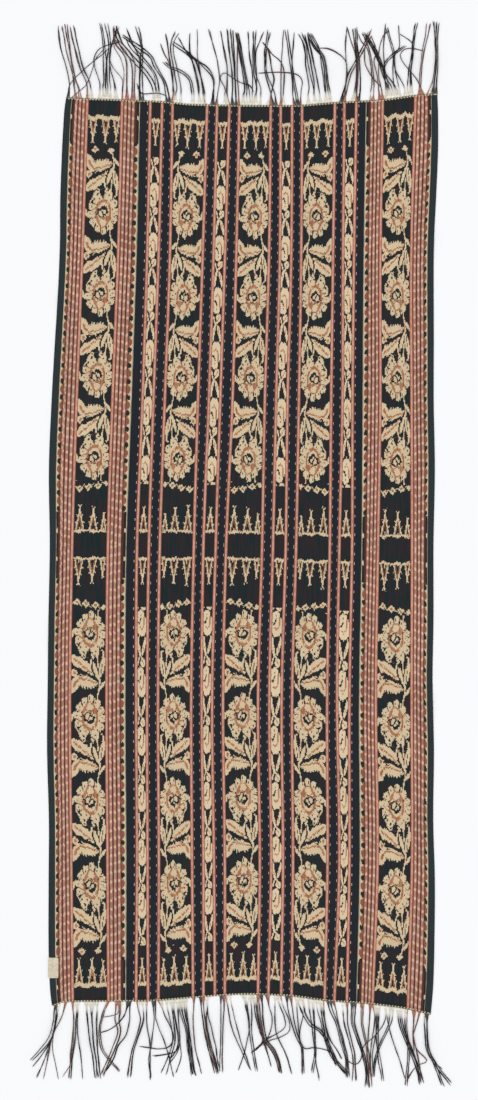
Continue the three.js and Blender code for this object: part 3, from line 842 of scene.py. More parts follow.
def cloth_rows(spacing):
    """Rows of the mesh, counted outwards from the middle, bottom half negative."""
    stops = (0, *sorted(band[line] for band in BANDS.values() for line in ("inner", "outer")), CLOTH_END)
    half = [0.0]
    for start, stop in zip(stops, stops[1:]):
        count = max(1, round((stop - start) * ROW_MM / spacing))
        half += [start + (stop - start) * (k + 1) / count for k in range(count)]
    return np.array([-r for r in reversed(half[1:])] + half)


def section_of(finish, row):
    """Finish and the chart's along value of a row within a band."""
    if finish not in BANDS:
        return finish, lambda r: abs(r) * ROW_MM
    inner, outer, unit = (BANDS[finish][key] for key in ("inner", "outer", "unit"))
    if abs(row) < inner:
        return f"{finish}_middle", lambda r: abs(r) / inner
    if abs(row) > outer:
        return f"{finish}_end", lambda r: (abs(r) - outer) / (HALF_ROWS - outer)
    if finish == "narrow":
        rows, counts = zip(*NARROW_ARCHES)
        return "narrow_unit", lambda r: float(np.interp(abs(r), rows, counts))
    return f"{finish}_unit", lambda r: (outer - abs(r)) / unit


def cloth_places(columns, rows):
    """Places across and along of the cloth's mesh, closing in on the row lines in a few rounds."""
    x = np.zeros((len(rows), len(columns)))
    y = np.zeros_like(x)
    for c, (gap, share) in enumerate(columns):
        guess = np.full(len(rows), c / (len(columns) - 1))
        for _ in range(4):
            y[:, c] = row_place(guess, rows)
            left, right = border(gap, y[:, c]), border(gap + 1, y[:, c])
            x[:, c] = left + (right - left) * share
            edge = along(SELVEDGE, 1, y[:, c])
            guess = (x[:, c] - edge) / (along(SELVEDGE, 2, y[:, c]) - edge)
    return x, y


def bake_place(x, y, face, half):
    """Corner in the bake map: the two halves of the top, then the two halves of the underside."""
    scale, floor = BAKE_FACES[face]
    ahead, widths, gap = BAKE_HALVES[half]
    start = gap + widths * BAKE_WIDE * scale
    return (start + (x * MM + BAKE_WEST) * scale, floor + (y * MM + ahead) * scale)


def cloth_mesh(sizes, finishes):
    """Closed thin cloth with one mesh column or more to each woven stripe."""
    columns, strips = stripe_columns()
    rows = cloth_rows(sizes.row_spacing / MM)
    across, count = len(columns), len(rows)
    x, y = cloth_places(columns, rows)
    base = lift(x, y)
    pucker = PUCKER_HIGH * np.sin(x / 23 + 2 * np.sin(y / 170)) * np.sin(y / 31 + np.sin(x / 60))
    rib = np.array([RIB_HIGH if gap % 2 and 0 < share < 1 else 0.0 for gap, share in columns])
    top = base + CLOTH_Z[1] + pucker + rib
    top[:, [0, -1]] -= SELVEDGE_DROP
    points = two_faces(x, y, top, base + CLOTH_Z[0])
    under = across * count
    names = list(finishes)
    faces, picks, band, warp, bake = [], [], [], [], []
    still = x[count // 2]

    for r in range(count - 1):
        half = "lower" if r < count // 2 else "upper"
        middle_row = (rows[r] + rows[r + 1]) / 2
        for c in range(across - 1):
            finish, left, right = strips[c]
            section, measure = section_of(finish, middle_row)
            pick = names.index(section)
            near, far = measure(rows[r]), measure(rows[r + 1])
            corners = (
                (r, c, left, near), (r, c + 1, right, near),
                (r + 1, c + 1, right, far), (r + 1, c, left, far))
            for face, shift, order in (("top", 0, 1), ("under", under, -1)):
                loop = corners[::order]
                faces.append(tuple(rr * across + cc + shift for rr, cc, _, _ in loop))
                picks.append(pick)
                for rr, cc, value, far_out in loop:
                    band.append((value, far_out))
                    warp.append((still[cc], y[rr, cc]))
                    bake.append(bake_place(x[rr, cc], y[rr, cc], face, half))

    def rim(cells, level, picks_of, values_of):
        """Close one side between the two faces, with its own strip of the bake map."""
        for n, (p, q) in enumerate(cells):
            (r0, c0), (r1, c1) = p, q
            a, b = r0 * across + c0, r1 * across + c1
            faces.append((a, a + under, b + under, b))
            picks.append(picks_of(p, q))
            values = values_of(p, q)
            for k, (rr, cc) in enumerate((p, p, q, q)):
                band.append(values[k // 2])
                warp.append((still[cc], y[rr, cc]))
                onward = RIM_START + RIM_LONG * (n + k // 2) / len(cells)
                bake.append((onward, level + (RIM_TALL if k in (1, 2) else 0)))

    selvedge = names.index("selvedge")
    for level, column, order in ((0.62, 0, 1), (0.64, across - 1, -1)):
        cells = [((r, column), (r + 1, column)) for r in range(count - 1)]
        if order < 0:
            cells = [(q, p) for p, q in cells]
        rim(cells, level, lambda p, q: selvedge,
            lambda p, q: tuple((0.5, abs(rows[k[0]]) * ROW_MM) for k in (p, q)))
    for level, row, order in ((0.66, 0, -1), (0.68, count - 1, 1)):
        cells = [((row, c), (row, c + 1)) for c in range(across - 1)]
        if order < 0:
            cells = [(q, p) for p, q in cells]

        def end_pick(p, q, row=row):
            return names.index(section_of(strips[min(p[1], q[1])][0], rows[row])[0])

        def end_values(p, q, row=row):
            finish, left, right = strips[min(p[1], q[1])]
            measure = section_of(finish, rows[row])[1](rows[row])
            pair = ((left, measure), (right, measure))
            return pair if p[1] < q[1] else pair[::-1]

        rim(cells, level, end_pick, end_values)

    made = piece_from("ikat_cloth", points, faces, finishes.values(), picks)
    lay_map(made.data, "Band", band)
    lay_map(made.data, "Warp", warp)
    lay_map(made.data, "OFBake", bake)
    return made


# Chart painting

def near_line(x, y, points, half_widths):
    """Cells within a tapered stroke."""
    inside = np.zeros(x.shape, bool)
    legs = list(zip(points, points[1:]))
    for number, ((ax, ay), (bx, by)) in enumerate(legs):
        length = (bx - ax) ** 2 + (by - ay) ** 2
        u = np.clip(((x - ax) * (bx - ax) + (y - ay) * (by - ay)) / length, 0, 1)
        far = np.hypot(x - ax - u * (bx - ax), y - ay - u * (by - ay))
        share = (number + u) / len(legs)
        inside |= far < half_widths[0] + (half_widths[1] - half_widths[0]) * share
    return inside


def axis_of(x, y, points):
    """Share along a straight axis and the signed distance to its left."""
    (ax, ay), (bx, by) = points
    length = math.hypot(bx - ax, by - ay)
    ux, uy = (bx - ax) / length, (by - ay) / length
    return ((x - ax) * ux + (y - ay) * uy) / length, (x - ax) * uy - (y - ay) * ux


def shape_cells(x, y, form, points, sizes):
    """Cells that one shape of a chart covers."""
    if form == "line":
        return near_line(x, y, points, sizes)
    if form in ("oval", "diamond", "ring"):
        (cx, cy), = points
        dx, dy = np.abs(x - cx) / sizes[0], np.abs(y - cy) / sizes[1]
        if form == "diamond":
            return dx + dy < 1
        if form == "oval":
            return dx ** 2 + dy ** 2 < 1
        return np.abs(np.hypot(dx, dy) - 1) * min(sizes[:2]) < sizes[2]
    share, off = axis_of(x, y, points)
    within = (share > 0) & (share < 1)
    body = np.clip(4 * share * (1 - share), 0, 1)
    if form == "leaf":
        return within & (np.abs(off) < sizes[0] * body ** 0.75)
    if form == "wedge":
        return within & (np.abs(off) < sizes[0] + (sizes[1] - sizes[0]) * share)
    if form == "spiked":
        spike = 0.66 + 0.34 * np.mod(share * sizes[1], 1)
        outer = sizes[0] * body ** 0.6 * spike
        return within & (off < outer) & (off > -sizes[0] * 0.6 * body ** 0.7)
    if form == "dashed":
        return within & (np.abs(off) < sizes[0]) & (np.mod(share * sizes[1], 1) < 0.86)
    raise ValueError(f"no chart form {form}")


def paint_chart(chart, wide, long):
    """Cells of a chart: 0 where dark, 1 where pale, 2 where rust."""
    x, y = np.meshgrid(
        (np.arange(int(wide * CHART_CELLS)) + 0.5) / CHART_CELLS,
        np.linspace(0, long, CHART_ROWS),
    )
    cells = np.zeros(x.shape, int)
    dyes = {"dark": 0, "pale": 1, "rust": 2}
    for dye, form, *shapes in chart:
        for points, sizes in shapes:
            cells[shape_cells(x, y, form, points, sizes)] = dyes[dye]
    return cells


def runs_of(row):
    """Start and stop shares of each covered run in a row of cells."""
    padded = np.concatenate([[0], row.astype(int), [0]])
    steps = np.flatnonzero(np.diff(padded)) / len(row)
    return list(zip(steps[::2], steps[1::2]))


def chart_channels(covered):
    """Runs of all the rows, sorted into channels that each follow one shape."""
    channels = []
    for number, row in enumerate(covered):
        free = runs_of(row)
        taken = []
        for channel in channels:
            last = channel["last"]
            best = None
            if last is not None:
                meets = [(min(b, last[1]) - max(a, last[0]), (a, b)) for a, b in free]
                meets = [m for m in meets if m[0] > 0]
                best = max(meets)[1] if meets else None
            if best:
                free.remove(best)
            taken.append(best)
        for k, channel in enumerate(channels):
            if taken[k] is None and channel["last"] is None and free:
                taken[k] = free.pop(0)
        for run in free:
            channels.append({"runs": [None] * number, "last": None})
            taken.append(run)
        for channel, run in zip(channels, taken):
            channel["runs"].append(run)
            channel["last"] = run
    tracks = []
    for channel in channels:
        runs = channel["runs"]
        known = [k for k, run in enumerate(runs) if run is not None]
        start, stop = [], []
        for k, run in enumerate(runs):
            if run is None:
                near = runs[min(known, key=lambda j: abs(j - k))]
                run = ((near[0] + near[1]) / 2,) * 2
            start.append(run[0])
            stop.append(run[1])
        tracks.append((start, stop))
    return tracks


# Shader nodes

def fill(tree, socket, value):
    """Link or set one input."""
    if isinstance(value, bpy.types.NodeSocket):
        tree.links.new(value, socket)
    elif socket.type == "RGBA" and len(value) == 3:
        socket.default_value = (*value, 1.0)
    else:
        socket.default_value = value


def add(tree, kind, inputs=None, **settings):
    """Node with its settings and its inputs filled."""
    made = tree.nodes.new(kind)
    for key, value in settings.items():
        setattr(made, key, value)
    for name, value in (inputs or {}).items():
        fill(tree, made.inputs[name], value)
    return made


def maths(tree, operation, *terms):
    """Output of a Math node."""
    made = tree.nodes.new("ShaderNodeMath")
    made.operation = operation
    for socket, term in zip(made.inputs, terms):
        fill(tree, socket, term)
    return made.outputs[0]


def blend(tree, factor, first, second, kind="MIX"):
    """Colour between two others."""
    made = tree.nodes.new("ShaderNodeMix")
    made.data_type = "RGBA"
    made.blend_type = kind
    fill(tree, made.inputs[0], factor)
    fill(tree, made.inputs[6], first)
    fill(tree, made.inputs[7], second)
    return made.outputs[2]


def spread(tree, value, low, high, to_low=0.0, to_high=1.0):
    """Value stretched from one range to another and held within it."""
    made = add(tree, "ShaderNodeMapRange", {
        "Value": value, "From Min": low, "From Max": high, "To Min": to_low, "To Max": to_high,
    })
    return made.outputs[0]


def parts_of(tree, vector):
    """The two parts of a map's place."""
    split = add(tree, "ShaderNodeSeparateXYZ", {0: vector})
    return split.outputs[0], split.outputs[1]


def cloudy(tree, x, y, detail):
    """Soft noise over a flat place."""
    place = add(tree, "ShaderNodeCombineXYZ", {0: x, 1: y}).outputs[0]
    made = add(tree, "ShaderNodeTexNoise", {"Vector": place, "Scale": 1.0, "Detail": detail}, noise_dimensions="2D")
    return made.outputs["Fac"]


def stretched(tree, place, wide, long, detail):
    """Soft noise in patches of a width and a length in millimetres."""
    east, north = parts_of(tree, place)
    return cloudy(tree, maths(tree, "DIVIDE", east, wide), maths(tree, "DIVIDE", north, long), detail)


def chance_of(tree, number):
    """Chance value from 0 to 1 that belongs to a number."""
    return add(tree, "ShaderNodeTexWhiteNoise", {"W": number}, noise_dimensions="1D").outputs["Value"]


def ridges(tree, turns):
    """Round ridges, one to each turn."""
    return maths(tree, "ABSOLUTE", maths(tree, "SINE", maths(tree, "MULTIPLY", turns, math.pi)))


def centred(tree, value, times=1.0):
    """Value from 0 to 1, moved to lie around 0 and then scaled."""
    return maths(tree, "MULTIPLY", maths(tree, "SUBTRACT", value, 0.5), times)


def beats(tree, length, beat, shift):
    """Wave that returns at a steady beat, moved by a share of the beat."""
    turn = maths(tree, "ADD", maths(tree, "DIVIDE", length, beat), shift)
    return maths(tree, "SINE", maths(tree, "MULTIPLY", turn, 2 * math.pi))


def close_to(tree, value, middle, reach):
    """One where a value lies within reach of a middle, else nothing."""
    return maths(tree, "LESS_THAN", maths(tree, "ABSOLUTE", maths(tree, "SUBTRACT", value, middle)), reach)


def effect(name, inputs, outputs):
    """Empty node group with named inputs and outputs, and its two end nodes."""
    tree = bpy.data.node_groups.new(name, "ShaderNodeTree")
    for label, kind, value in inputs:
        socket = tree.interface.new_socket(name=label, in_out="INPUT", socket_type=kind)
        if value is not None:
            socket.default_value = value
    for label, kind in outputs:
        tree.interface.new_socket(name=label, in_out="OUTPUT", socket_type=kind)
    return tree, tree.nodes.new("NodeGroupInput").outputs, tree.nodes.new("NodeGroupOutput").inputs


def use(tree, group, inputs):
    """Group placed in a tree."""
    made = tree.nodes.new("ShaderNodeGroup")
    made.node_tree = group
    for name, value in inputs.items():
        fill(tree, made.inputs[name], value)
    return made.outputs


def warp_thread_group():
    """Steps a band's pattern to single warp threads, each shifted a little along its length."""
    tree, given, out = effect(
        "Warp threads",
        (
            ("Place", "NodeSocketVector", None),
            ("Band", "NodeSocketVector", None),
            ("Threads", "NodeSocketFloat", 64.0),
            ("Bleed", "NodeSocketFloat", 0.01),
        ),
        (("Across", "NodeSocketFloat"), ("Along", "NodeSocketFloat"), ("Thread", "NodeSocketFloat")),
    )
    across, length = parts_of(tree, given["Band"])
    east, north = parts_of(tree, given["Place"])
    count = maths(tree, "FLOOR", maths(tree, "MULTIPLY", across, given["Threads"]))
    stepped = maths(tree, "DIVIDE", maths(tree, "ADD", count, 0.5), given["Threads"])
    region = maths(tree, "FLOOR", maths(tree, "DIVIDE", east, 60))
    number = maths(tree, "ADD", count, maths(tree, "MULTIPLY", region, 91))
    single = chance_of(tree, number)
    tied = maths(tree, "FLOOR", maths(tree, "DIVIDE", number, 2.6))
    bundle = chance_of(tree, maths(tree, "ADD", tied, 0.31))
    drift = cloudy(tree, maths(tree, "MULTIPLY", number, 1.7), maths(tree, "DIVIDE", north, 14), 1.0)
    total = maths(tree, "ADD", centred(tree, single), centred(tree, bundle))
    total = maths(tree, "ADD", total, centred(tree, drift, 2.2))
    fill(tree, out["Across"], stepped)
    fill(tree, out["Along"], maths(tree, "ADD", length, maths(tree, "MULTIPLY", total, given["Bleed"])))
    fill(tree, out["Thread"], single)
    return tree


def weave_group():
    """Relief of a warp faced weave and the shade in its grooves."""
    tree, given, out = effect(
        "Warp faced weave",
        (
            ("Place", "NodeSocketVector", None),
            ("Warp pitch", "NodeSocketFloat", 0.9),
            ("Weft pitch", "NodeSocketFloat", 1.3),
        ),
        (("Height", "NodeSocketFloat"), ("Shade", "NodeSocketFloat")),
    )
    east, north = parts_of(tree, given["Place"])
    threads = maths(tree, "DIVIDE", east, given["Warp pitch"])
    odd = maths(tree, "MODULO", maths(tree, "FLOOR", threads), 2)
    shots = maths(tree, "ADD", maths(tree, "DIVIDE", north, given["Weft pitch"]), maths(tree, "MULTIPLY", odd, 0.5))
    round_thread = maths(tree, "POWER", ridges(tree, threads), 0.6)
    rise = maths(tree, "ADD", 0.55, maths(tree, "MULTIPLY", ridges(tree, shots), 0.45))
    height = maths(tree, "MULTIPLY", round_thread, rise)
    fill(tree, out["Height"], height)
    fill(tree, out["Shade"], spread(tree, height, 0.0, 0.75, 0.72, 1.04))
    return tree


def wear_group():
    """Uneven dye and handling marks, stretched along the warp."""
    tree, given, out = effect(
        "Dye and wear",
        (("Place", "NodeSocketVector", None), ("Amount", "NodeSocketFloat", 0.2)),
        (
            ("Tone", "NodeSocketFloat"),
            ("Roughness", "NodeSocketFloat"),
            ("Stain", "NodeSocketFloat"),
            ("Streak", "NodeSocketFloat"),
        ),
    )
    place = given["Place"]
    band = stretched(tree, place, 5.6, 60, 3.0)
    streak = stretched(tree, place, 1.7, 26, 3.0)
    cloud = stretched(tree, place, 70, 110, 4.0)
    speck = stretched(tree, place, 1.1, 2.6, 1.0)
    uneven = maths(tree, "ADD", centred(tree, streak), centred(tree, cloud, 0.8))
    uneven = maths(tree, "ADD", uneven, centred(tree, speck, 0.7))
    fill(tree, out["Streak"], spread(tree, band, 0.39, 0.61))
    fill(tree, out["Tone"], maths(tree, "ADD", 1.0, maths(tree, "MULTIPLY", uneven, given["Amount"])))
    fill(tree, out["Roughness"], spread(tree, cloud, 0.3, 0.7, 0.82, 0.95))
    fill(tree, out["Stain"], spread(tree, maths(tree, "ADD", streak, maths(tree, "MULTIPLY", speck, 0.6)), 0.62, 1.0))
    return tree


def covered_mask(tree, across, length, tracks):
    """One within any channel's run, between its start and stop curves, else nothing."""
    curves = [curve for track in tracks for curve in track]
    values = []
    for first in range(0, len(curves), 3):
        picked = curves[first:first + 3]
        made = tree.nodes.new("ShaderNodeRGBCurve")
        for k, curve in enumerate(picked):
            keep = [0]
            for i in range(1, len(curve) - 1):
                if abs(curve[i + 1] - 2 * curve[i] + curve[i - 1]) > 1e-4:
                    keep.append(i)
            keep.append(len(curve) - 1)
            points = made.mapping.curves[k].points
            points[0].location = (0.0, curve[0])
            points[len(points) - 1].location = (1.0, curve[-1])
            for i in keep[1:-1]:
                points.new(i / (len(curve) - 1), curve[i])
            for point in points:
                point.handle_type = "VECTOR"
        made.mapping.update()
        colour = add(tree, "ShaderNodeCombineColor", {0: length, 1: length, 2: length})
        tree.links.new(colour.outputs[0], made.inputs["Color"])
        split = add(tree, "ShaderNodeSeparateColor", {0: made.outputs[0]})
        values += [split.outputs[k] for k in range(len(picked))]
    total = None
    for start, stop in zip(values[::2], values[1::2]):
        begun, ended = maths(tree, "GREATER_THAN", across, start), maths(tree, "LESS_THAN", across, stop)
        inside = maths(tree, "MULTIPLY", begun, ended)
        total = inside if total is None else maths(tree, "MAXIMUM", total, inside)
    return total


def chart_group(name, chart, wide, long, repeats):
    """Masks of the pale and the rust warp of one chart."""
    tree, given, out = effect(
        name,
        (("Across", "NodeSocketFloat", 0.5), ("Along", "NodeSocketFloat", 0.5)),
        (("Pale", "NodeSocketFloat"), ("Rust", "NodeSocketFloat")),
    )
    length = given["Along"]
    if repeats:
        length = maths(tree, "FRACT", length)
    cells = paint_chart(chart, wide, long)
    for socket, covered in (("Pale", cells >= 1), ("Rust", cells == 2)):
        tracks = chart_channels(covered)
        fill(tree, out[socket], covered_mask(tree, given["Across"], length, tracks) if tracks else 0.0)
    return tree


def new_finish(name):
    """Empty material and its tree with a principled shader and its output."""
    made = bpy.data.materials.new(name)
    made.use_nodes = True
    tree = made.node_tree
    tree.nodes.clear()
    shader = tree.nodes.new("ShaderNodeBsdfPrincipled")
    shader.inputs["Specular IOR Level"].default_value = 0.2
    shader.inputs["Sheen Weight"].default_value = 0.12
    shader.inputs["Sheen Roughness"].default_value = 0.5
    ending = tree.nodes.new("ShaderNodeOutputMaterial")
    tree.links.new(shader.outputs[0], ending.inputs[0])
    return made, tree, shader


def map_place(tree, name):
    """A UV map's place."""
    return add(tree, "ShaderNodeUVMap", uv_map=name).outputs[0]


def coat(tree, shader, colour, roughness, height, strength, depth):
    """Colour, roughness and relief of a finish."""
    bump = add(tree, "ShaderNodeBump", {"Height": height, "Strength": strength, "Distance": depth})
    for name, value in (("Base Color", colour), ("Roughness", roughness), ("Normal", bump.outputs[0])):
        fill(tree, shader.inputs[name], value)


def toned(tree, colour, tone):
    """Colour made lighter or darker by a tone."""
    grey = add(tree, "ShaderNodeCombineColor", {0: tone, 1: tone, 2: tone}).outputs[0]
    return blend(tree, 1.0, colour, grey, "MULTIPLY")


class ClothFinishes:
    """All the materials of the woven cloth, from the same few effects."""

    def __init__(self, dyes, sizes):
        self.dyes = dyes
        self.warp_mm = sizes.warp_pitch / MM
        self.weft_mm = sizes.weft_pitch / MM
        self.threads = warp_thread_group()
        self.weave = weave_group()
        self.wear = wear_group()

    def begin(self, name):
        """New material with the places of its band and of the whole warp."""
        made, tree, shader = new_finish(name)
        return made, tree, shader, map_place(tree, "Band"), map_place(tree, "Warp")

    def finish(self, tree, shader, place, colour, wear):
        """Colour, roughness and relief that every stripe shares."""
        worn = use(tree, self.wear, {"Place": place, "Amount": wear})
        woven = use(tree, self.weave, {"Place": place, "Warp pitch": self.warp_mm, "Weft pitch": self.weft_mm})
        colour = toned(tree, colour, maths(tree, "MULTIPLY", worn["Tone"], woven["Shade"]))
        coat(tree, shader, colour, worn["Roughness"], woven["Height"], 0.6, 0.0003)

    def plain(self, name, colour, second):
        """Plain warp stripe with threads of two near colours."""
        made, tree, shader, _, place = self.begin(name)
        worn = use(tree, self.wear, {"Place": place, "Amount": 0.3})
        self.finish(tree, shader, place, blend(tree, worn["Stain"], colour, second), 0.3)
        return made

    def charted(self, name, chart, threads, bleed, heart, paler):
        """Warp ikat band drawn by a chart, with hearts of one dye and a share of paler warp."""
        dyes = self.dyes
        made, tree, shader, band, place = self.begin(name)
        stepped = use(tree, self.threads, {"Place": place, "Band": band, "Threads": threads, "Bleed": bleed})
        masks = use(tree, chart, {"Across": stepped["Across"], "Along": stepped["Along"]})
        worn = use(tree, self.wear, {"Place": place, "Amount": 0.2})
        pale = blend(tree, worn["Stain"], dyes.pale, dyes.tan)
        pale = blend(tree, spread(tree, worn["Streak"], 0, 1, 0.0, 0.32), pale, dyed(228, 187, 152))
        pale = blend(tree, paler, pale, dyed(242, 224, 190))
        rust = blend(tree, spread(tree, stepped["Thread"], 0, 1, 0.7, 1.0), pale, heart)
        colour = blend(tree, masks["Rust"], pale, rust)
        ground = blend(tree, worn["Streak"], dyed(12, 37, 40), dyed(46, 33, 36))
        colour = blend(tree, masks["Pale"], blend(tree, 0.85, dyes.ground, ground), colour)
        self.finish(tree, shader, place, colour, 0.22)
        return made

    def dashes(self):
        """Rose lines with small pale drops at a steady beat and dark red brown lines between."""
        dyes = self.dyes
        made, tree, shader, band, place = self.begin("dashes")
        across, length = parts_of(tree, band)
        worn = use(tree, self.wear, {"Place": place, "Amount": 0.3})
        column = maths(tree, "FLOOR", across)
        east, _ = parts_of(tree, place)
        side = maths(tree, "MULTIPLY", maths(tree, "FLOOR", maths(tree, "DIVIDE", east, 50)), 0.37)
        shift = maths(tree, "ADD", maths(tree, "MULTIPLY", column, 0.14), side)
        shift = maths(tree, "ADD", shift, maths(tree, "MULTIPLY", worn["Streak"], 0.22))
        beat = spread(tree, beats(tree, length, DASH_BEAT, shift), 0.25, 0.85)
        off = maths(tree, "ABSOLUTE", centred(tree, maths(tree, "FRACT", across)))
        wide = maths(tree, "ADD", 0.3, maths(tree, "MULTIPLY", beat, 0.05))
        body = spread(tree, maths(tree, "SUBTRACT", wide, off), -0.06, 0.06)
        core = spread(tree, maths(tree, "SUBTRACT", 0.21, off), -0.08, 0.08)
        rose = blend(tree, worn["Streak"], dyes.rose, dyed(187, 146, 126))
        colour = blend(tree, body, dyes.brown, rose)
        colour = blend(tree, maths(tree, "MULTIPLY", core, beat), colour, dyed(226, 190, 168))
        self.finish(tree, shader, place, colour, 0.5)
        return made

    def dogtooth(self):
        """Pale stripe with black and red brown teeth in turn."""
        dyes = self.dyes
        made, tree, shader, band, place = self.begin("dogtooth")
        stepped = use(tree, self.threads, {"Place": place, "Band": band, "Threads": 7.0, "Bleed": 2.8})
        across, length = stepped["Across"], stepped["Along"]
        share = maths(tree, "FRACT", maths(tree, "DIVIDE", length, TOOTH_BEAT))
        off = maths(tree, "POWER", maths(tree, "DIVIDE", maths(tree, "SUBTRACT", across, 0.8), 0.68), 2.0)
        spots = []
        for middle, half in ((0.25, 0.185), (0.75, 0.25)):
            far = maths(tree, "DIVIDE", maths(tree, "SUBTRACT", share, middle), half)
            spots.append(maths(tree, "LESS_THAN", maths(tree, "ADD", maths(tree, "POWER", far, 2.0), off), 1.0))
        covered = maths(tree, "MAXIMUM", *spots)
        dark = blend(tree, spots[0], dyed(144, 86, 66), dyed(42, 36, 32))
        pale = blend(tree, use(tree, self.wear, {"Place": place, "Amount": 0.2})["Stain"], dyes.pale, dyes.tan)
        pale = blend(tree, spread(tree, across, 0.55, 0.95), pale, dyed(126, 92, 70))
        colour = blend(tree, covered, pale, dark)
        inner = maths(tree, "LESS_THAN", length, TEETH_FROM)
        outer = maths(tree, "GREATER_THAN", length, TEETH_TO)
        plain = maths(tree, "MAXIMUM", inner, outer)
        rest = blend(tree, spread(tree, across, 0.4, 0.8), dyes.ground, dyes.brown)
        for level in PALE_BARS:
            near = maths(tree, "MULTIPLY", close_to(tree, length, level, 4.5), maths(tree, "LESS_THAN", across, 0.45))
            rest = blend(tree, near, rest, pale)
        self.finish(tree, shader, place, blend(tree, plain, colour, rest), 0.25)
        return made

    def salmon(self):
        """Salmon stripe with darker edge threads and slow changes along its length."""
        dyes = self.dyes
        made, tree, shader, band, place = self.begin("salmon")
        across, length = parts_of(tree, band)
        slow = stretched(tree, place, 9, 60, 2.0)
        off = maths(tree, "ABSOLUTE", centred(tree, across))
        wave = beats(tree, length, DASH_BEAT, maths(tree, "MULTIPLY", slow, 1.6))
        beat = spread(tree, wave, 0.1, 0.9, 0.0, 0.6)
        light = blend(tree, spread(tree, slow, 0.35, 0.65), dyed(196, 138, 118), dyed(210, 164, 142))
        light = blend(tree, beat, light, dyed(232, 184, 162))
        core = blend(tree, spread(tree, off, 0.08, 0.3), light, dyes.salmon)
        edge = spread(tree, off, 0.33, 0.46)
        self.finish(tree, shader, place, blend(tree, edge, core, dyed(124, 72, 58)), 0.3)
        return made

    def navy(self):
        """Indigo stripe with a row of small pale dashes near each side."""
        dyes = self.dyes
        made, tree, shader, band, place = self.begin("navy")
        from_side, length = parts_of(tree, band)
        east, _ = parts_of(tree, place)
        worn = use(tree, self.wear, {"Place": place, "Amount": 0.3})
        shift = maths(tree, "MULTIPLY", maths(tree, "FLOOR", maths(tree, "DIVIDE", east, 12)), 0.23)
        beat = maths(tree, "FRACT", maths(tree, "ADD", maths(tree, "DIVIDE", length, NAVY_BEAT), shift))
        dash = maths(tree, "MULTIPLY", close_to(tree, from_side, 2.4, 0.66), maths(tree, "LESS_THAN", beat, 0.27))
        ground = blend(tree, worn["Streak"], dyes.navy, dyed(32, 32, 38))
        near = spread(tree, from_side, 0.6, 3.6)
        colour = blend(tree, near, dyed(62, 34, 36), ground)
        self.finish(tree, shader, place, blend(tree, dash, colour, dyed(206, 180, 168)), 0.3)
        return made

    def all(self):
        """Finishes by name, in the order of the cloth's material slots."""
        dyes = self.dyes
        hearts = {"unit": dyes.rust, "middle": dyed(112, 60, 34), "end": dyed(146, 86, 56)}
        drawn = {}
        for kind, part, chart, paler in (
            ("flower", "unit", FLOWER_UNIT_CHART, 0.0),
            ("flower", "middle", FLOWER_MIDDLE_CHART, 0.0),
            ("flower", "end", FLOWER_END_CHART, 0.0),
            ("narrow", "unit", NARROW_UNIT_CHART, 0.3),
            ("narrow", "middle", NARROW_MIDDLE_CHART, 0.0),
            ("narrow", "end", NARROW_END_CHART, 0.0),
        ):
            band = BANDS[kind]
            rows = {"unit": band["unit"], "middle": band["inner"], "end": HALF_ROWS - band["outer"]}[part]
            group = chart_group(f"{kind.title()} {part} chart", chart, band["columns"], rows, part == "unit")
            name = f"{kind}_{part}"
            drawn[name] = self.charted(name, group, band["threads"], TIE_BLEED / rows, hearts[part], paler)
        return {
            **drawn,
            "selvedge": self.plain("selvedge", dyes.green, dyed(34, 44, 50)),
            "pale_thread": self.plain("pale_thread", dyed(196, 184, 150), dyed(120, 110, 92)),
            "dogtooth": self.dogtooth(),
            "dashes": self.dashes(),
            "salmon": self.salmon(),
            "navy": self.navy(),
        }


class IKAT_OT_weave_cloth(bpy.types.Operator):
    """Weave the striped cloth with its flower bands"""
    bl_idname = "ikat.weave_cloth"
    bl_label = "Weave Cloth"

    def execute(self, context):
        settings = context.scene
        finishes = ClothFinishes(settings.ikat_dyes, settings.ikat_sizes).all()
        cloth = cloth_mesh(settings.ikat_sizes, finishes)
        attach(cloth, "root")
        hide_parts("cloth")
        return {"FINISHED"}


# Fringe

def root_kind(x, side):
    """Which warp a strand grows from: undyed, rose or dark."""
    y = side * ROOTS_AT
    for number in range(len(GAPS)):
        left, right = float(border(2 * number, y)), float(border(2 * number + 1, y))
        if x > right + 2 * SALMON_HALF:
            continue
        if x > right or x < left:
            return "rose"
        stripes, from_right = GAPS[number]
        share = (x - left) / (right - left)
        share = 1 - share if from_right else share
        for kind, start, stop in stripes:
            if start <= share <= stop:
                if kind.startswith(("flower", "narrow", "dogtooth")):
                    return "undyed"
                return "rose" if kind == "dashes" else "dark"
    return "dark"


def distances(points):
    """Distance along a line from its first point to each of its points."""
    return np.concatenate([[0], np.cumsum(np.linalg.norm(np.diff(points, axis=0), axis=1))])


